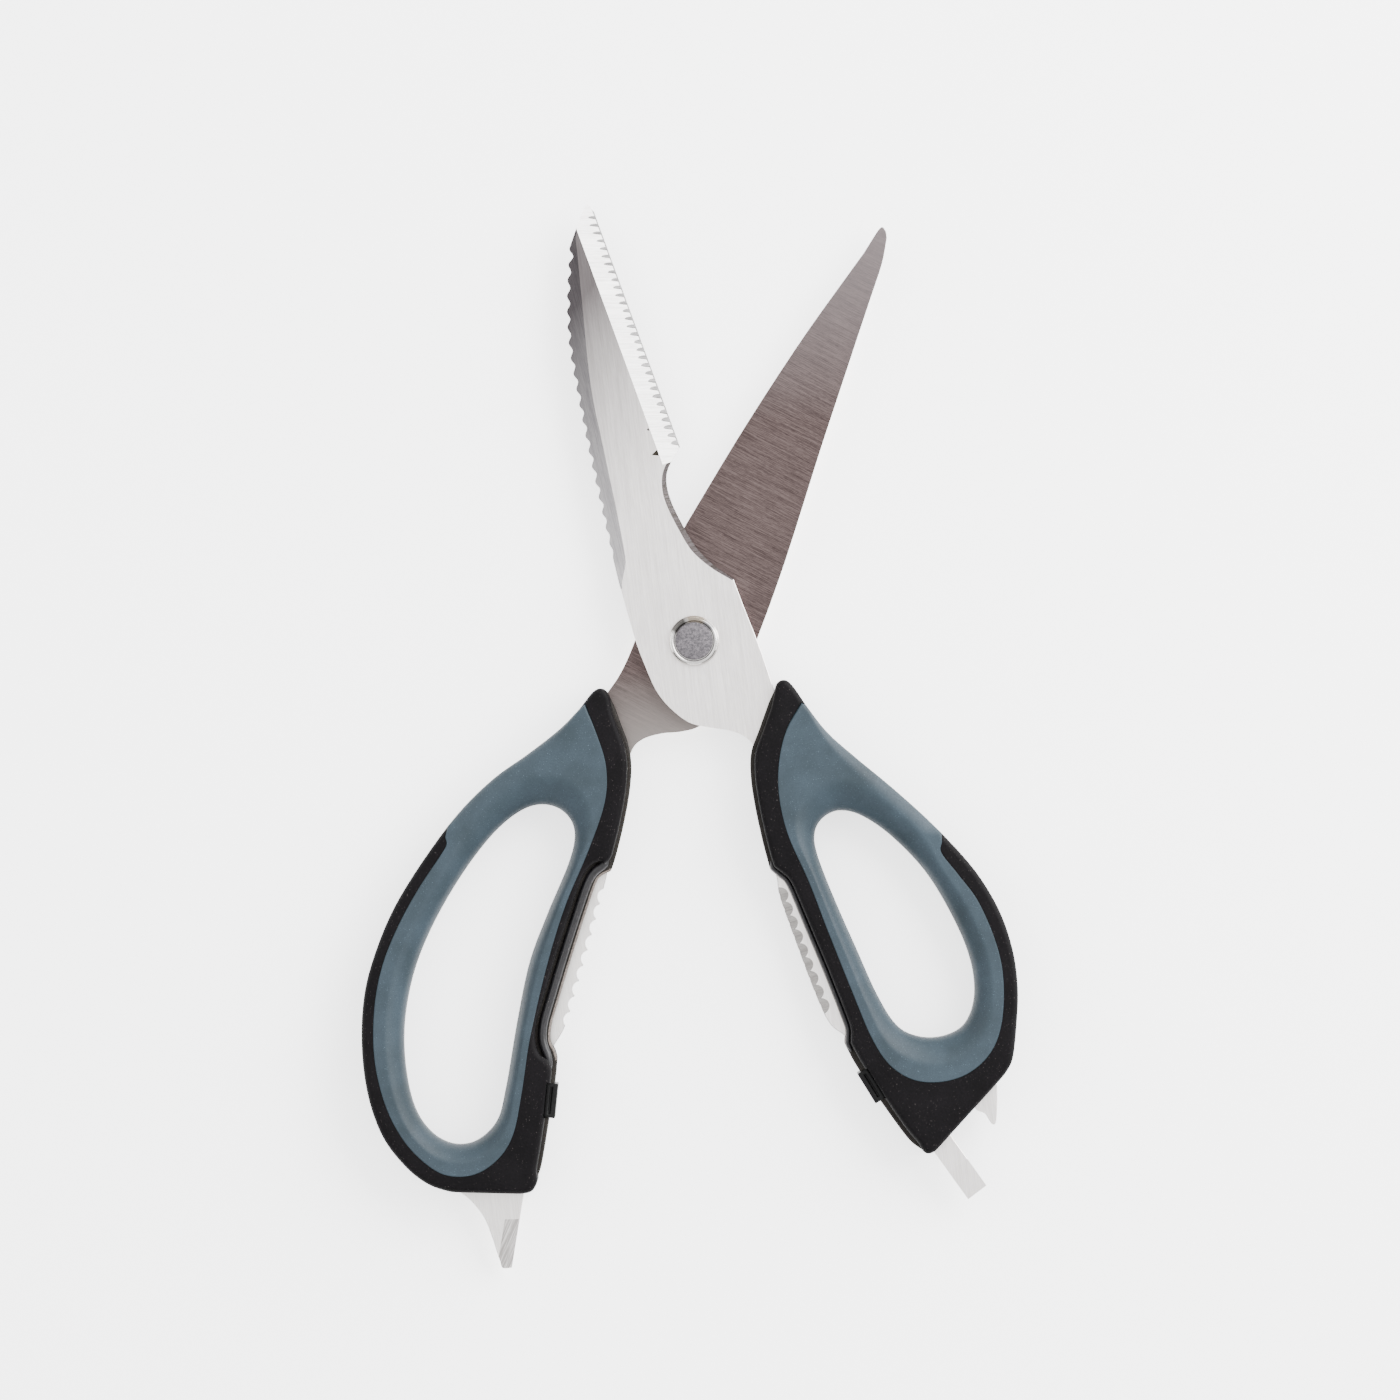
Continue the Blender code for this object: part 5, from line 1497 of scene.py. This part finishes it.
def paint_front_blade(blade, tones):
    """Finishes by each face's tilt, and by its distance in millimetres from a drawn line."""
    bevel = [Vector(p) for p in FRONT_CUTTING_EDGE]
    scallops = spline(FRONT_BACK_BEVEL)
    notch = spline(FRONT_NOTCH)
    tooth_line = spline(FRONT_TEETH_LINE)
    nicks = [Vector(p) for p in FRONT_NICK], [Vector(p) for p in FRONT_SMALL_NICK]

    def at(face):
        return centre_in(face, FRONT_TURN)

    def sloping(face):
        return 0.05 < face.normal.z < FLAT

    def bevelled(face):
        leans = sloping(face) and face.normal.x > 0
        return leans and near(at(face), bevel, BEVEL_REACH) and at(face).y > FRONT_BEVEL_FROM

    # The serrations' lower walls, which get the painted shade
    def hollowed(face):
        leans = 0.2 < face.normal.z < FACING and face.normal.y > 0.3
        return leans and near(at(face), bevel, WALL_REACH)

    def on_edge_line(face):
        leans = 0.2 < face.normal.z < 0.8 and face.normal.x > 0.3
        return leans and near(at(face), bevel, EDGE_LINE_REACH)

    def nick_floor(face):
        low = face.center.z < FRONT_PLATE_TOP - 0.1 * MM and face.normal.z > 0.99
        return low and any(near(at(face), n, NICK_FLOOR_REACH) for n in nicks)

    def faceted(face):
        return sloping(face) and near(at(face), scallops, FACET_REACH) and at(face).y > FACET_FROM

    def nick_wall(face):
        return face.normal.z < 0.99 and any(near(at(face), n, NICK_WALL_REACH) for n in nicks)

    coat(blade, tones["inner"], lambda f: f.normal.z < -FACING)
    coat(blade, tones["chamfer"], lambda f: f.normal.z < FLAT and near(at(f), notch, CHAMFER_REACH))
    coat(blade, tones["facet"], faceted)
    coat(blade, tones["bevel"], bevelled)
    coat(blade, tones["serration_wall_shade"], hollowed)
    coat(blade, tones["edge"], on_edge_line)
    coat(blade, tones["hollow"], lambda f: abs(f.normal.z) < 0.97 and near(at(f), tooth_line, TOOTH_REACH))
    coat(blade, tones["nick"], nick_wall)
    coat(blade, tones["nick"], nick_floor)


def paint_rear_blade(blade, tones):
    """The rear blade's finishes, picked in the same way."""
    tooth_line = spline(REAR_TEETH_LINE)
    end = [Vector(p) for p in PRY_END[1:]]

    def at(face):
        return centre_in(face, REAR_TURN)

    def bevelled(face):
        return -FLAT < face.normal.z < -0.05 and at(face).y > REAR_BEVEL_FROM

    coat(blade, tones["outer"], lambda f: f.normal.z < -FACING)
    coat(blade, tones["bevel"], bevelled)
    coat(blade, tones["light"], lambda f: f.normal.z > FACING and at(f).y < TANG_TOP)
    coat(blade, tones["hollow"], lambda f: abs(f.normal.z) < 0.97 and near(at(f), tooth_line, TOOTH_REACH))
    coat(blade, tones["pry"], lambda f: 0.3 < f.normal.z < 0.995 and near(at(f), end, PRY_REACH))


# The pieces

front_angle = math.pi / 2 + FRONT_TURN
rear_angle = math.pi / 2 + REAR_TURN

# Outer faces brushed along the blade: fine pale streaks that catch the light as one soft sheen, and painted
# shade towards the tip
brushed = ground_steel(
    "stainless_brushed_lengthwise", front_angle - 0.12, "#e6e0dd", "#f8f3f0", 0.36, 0.2, 0.01,
    0.1, tip_shade,
)
brushed_plain = ground_steel(
    "stainless_brushed_tang", front_angle - 0.12, "#e8e3df", "#faf6f2", 0.34, 0.2, 0.01, 0.1
)
# Inner faces ground across: dark brownish grey with lines from edge to spine, and painted light at the rear
# blade's heel and tip
ground = ground_steel(
    "steel_surface_ground_across", rear_angle + 1.5, "#3a302f", "#625553", 0.4, 0.11, 0.012,
    0.06, rear_face_painted_light,
)
ground_front = ground_steel(
    "steel_ground_inner_face", front_angle + 1.5, "#433937", "#6d615e", 0.4, 0.15, 0.015, 0.12
)
# Honed bevels: the brightest steel, with fine lines square to the edge
honed = ground_steel("steel_honed_bevel", 0.0, "#999796", "#bebcbb", 0.32, 0.22, 0.02, 0.06)
# Facets and teeth: milky ground hollows, duller than the bevel; the facets also carry the painted shade
# towards the tip
facet = ground_steel(
    "steel_ground_facets", front_angle, "#898688", "#a5a2a2", 0.42, 0.2, 0.01, 0.1, tip_shade
)
hollows = ground_steel("steel_tooth_hollows", 0.3, "#5f5c5a", "#7b7875", 0.42, 0.3, 0.015)
# Painted shade: the serrations' lower walls get a dark steel
serration_wall_shade = ground_steel("steel_serration_walls", 0.0, "#232222", "#3a3938", 0.4, 0.3, 0.01)
edge_line = ground_steel("steel_edge_line", front_angle, "#6f6d6c", "#8b8988", 0.4, 0.3, 0.01)
chamfer = ground_steel("steel_notch_chamfer", front_angle + 1.5, "#403c39", "#5c5758", 0.42, 0.3, 0.015)
pry_ground = ground_steel("steel_pry_end_linished", rear_angle, "#a19c99", "#e0dcd9", 0.33, 0.3, 0.02, 0.1)
struck = ground_steel("steel_struck_nick", 0.0, "#26231e", "#3d3a33", 0.5, 0.3, 0.01)
tones = {
    "inner": ground_front, "outer": brushed_plain, "bevel": honed, "facet": facet,
    "chamfer": chamfer, "light": brushed_plain, "pry": pry_ground, "hollow": hollows,
    "serration_wall_shade": serration_wall_shade, "nick": struck, "edge": edge_line,
}

front_steel = finish_mesh(front_blade(), FRONT_TURN, SHARP_STEEL, brushed)
paint_front_blade(front_steel, tones)
stand_for(front_steel, "front_blade", "front_half")

rear_steel = finish_mesh(rear_blade(), REAR_TURN, SHARP_STEEL, ground)
paint_rear_blade(rear_steel, tones)
stand_for(rear_steel, "rear_blade", "rear_half")

# Hard cores: matt black with a fine grain; grips: soft blue-grey with a sandy grain
black = moulded_black("core_moulded_matt_black", "#030203", "#464140", 0.55, 0.03)
soft_blue = soft_grip("grip_soft_moulded_blue_grey")
# Glossy rubber: nearly black, with a hard small highlight
rubber = moulded_black("stop_rubber_glossy_black", "#070707", "#1c1b1c", 0.3, 0.006, 0.15)

# The lip's edge by the steel gets a painted highlight, a warm grey line
lip_edge_highlight = moulded_black("core_lip_edge_worn_grey", "#4b4541", "#8d8783", 0.5, 0.02)
# Beads are smoother than the rest, so they carry a long soft highlight
bead_black = moulded_black("core_bead_satin_black", "#0d0c0e", "#5d5755", 0.3, 0.01, 0.35)

# The low lip along the inner side is drawn a paler black on its upper face
paler_lip = moulded_black("core_lip_rubbed_black", "#181614", "#4a4644", 0.5, 0.02)

for make, turn, side in ((front_handle, FRONT_TURN, "front"), (rear_handle, REAR_TURN, "rear")):
    shell, soft, pad = make()
    half = side + "_half"
    finish_mesh(shell, turn, SHARP_CORE, black)
    coat(shell, paler_lip, lambda f: f.normal.z > 0.7 and f.center.z < SHEAR_PLANE + LIP_HALF + HAIR)
    line = spline(FRONT_RECESS if side == "front" else REAR_RECESS)
    # Painted highlight along the lip's rounded edge by the recess
    coat(shell, lip_edge_highlight, lambda f: on_lip_edge(f, turn, line))
    coat(shell, bead_black, lambda f: on_bead(f, turn, line))
    stand_for(shell, side + "_core", half)
    stand_for(finish_mesh(soft, turn, SHARP_SOFT, soft_blue), side + "_grip", half)
    stand_for(finish_mesh(pad, turn, SHARP_SOFT, rubber), side + "_stop_pad", half)

polish = polished_steel("pivot_ring_polished_steel")
blasted = mottled_disc("bolt_head_blasted_steel")
nylon = plain_plastic("washer_moulded_nylon", "#a5a096", "#b4b0a7", 0.42, 1.6)
for make, finish, node in (
    (pivot_cup, polish, "pivot_cup"),
    (pivot_bolt, blasted, "pivot_bolt"),
    (pivot_sleeve, polish, "pivot_sleeve"),
):
    stand_for(finish_mesh(make(), 0.0, SHARP_TURNED, finish), node, "rear_half")
# The washer shows only as a thin line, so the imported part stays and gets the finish
washer = bpy.data.objects["pivot_washer"]
washer.data.materials.clear()
washer.data.materials.append(nylon)

# The table, the light and the camera

bpy.ops.mesh.primitive_plane_add(size=3.0, location=(0.0, -0.01, -0.00126))
floor = bpy.context.object
floor.name = "table_top"
paper, tree, shader, place = surface("table_smooth_white_card")
fibres = noise(tree, place, 14.0, 3.0, 0.6)
put(tree, shader, "Base Color", mixed(tree, fibres, linear("#f9f9f9"), linear("#fcfcfc")))
put(tree, shader, "Roughness", spread(tree, fibres, 0.0, 1.0, 0.6, 0.75))
put(tree, shader, "Emission Color", linear("#ffffff"))
put(tree, shader, "Emission Strength", 1.9)
floor.data.materials.append(paper)


def lamp(name, place, size, power, aim=(0.0, -0.01, 0.0), tint="#ffffff"):
    """A soft square lamp that faces the shears."""
    light = bpy.data.lights.new(name, "AREA")
    light.shape = "RECTANGLE"
    light.size = size[0]
    light.size_y = size[1]
    light.energy = power
    light.color = linear(tint)[:3]
    holder = bpy.data.objects.new(name, light)
    bpy.context.scene.collection.objects.link(holder)
    holder.location = place
    way = Vector(aim) - Vector(place)
    holder.rotation_euler = way.to_track_quat("-Z", "Y").to_euler()
    return holder


lamps = [
    lamp("softbox_right", (0.62, 0.42, 0.5), (0.9, 0.9), 30.0),
    lamp("softbox_left", (-0.75, 0.3, 0.75), (0.7, 0.9), 5.0),
]

world = bpy.data.worlds.new("studio")
world.use_nodes = True
world.node_tree.nodes["Background"].inputs["Color"].default_value = linear("#f4f5f6")
world.node_tree.nodes["Background"].inputs["Strength"].default_value = 2.2
bpy.context.scene.world = world

# The photograph spans this many metres at the shears, and is taken from straight above
VIEW_WIDTH = 0.294
lens = bpy.data.cameras.new("camera")
lens.lens = 180
lens.sensor_width = 36
lens.clip_end = 10.0
camera = bpy.data.objects.new("camera", lens)
bpy.context.scene.collection.objects.link(camera)
camera.location = (0.00126, -0.01239, SHEAR_PLANE + VIEW_WIDTH / lens.sensor_width * lens.lens)
bpy.context.scene.camera = camera
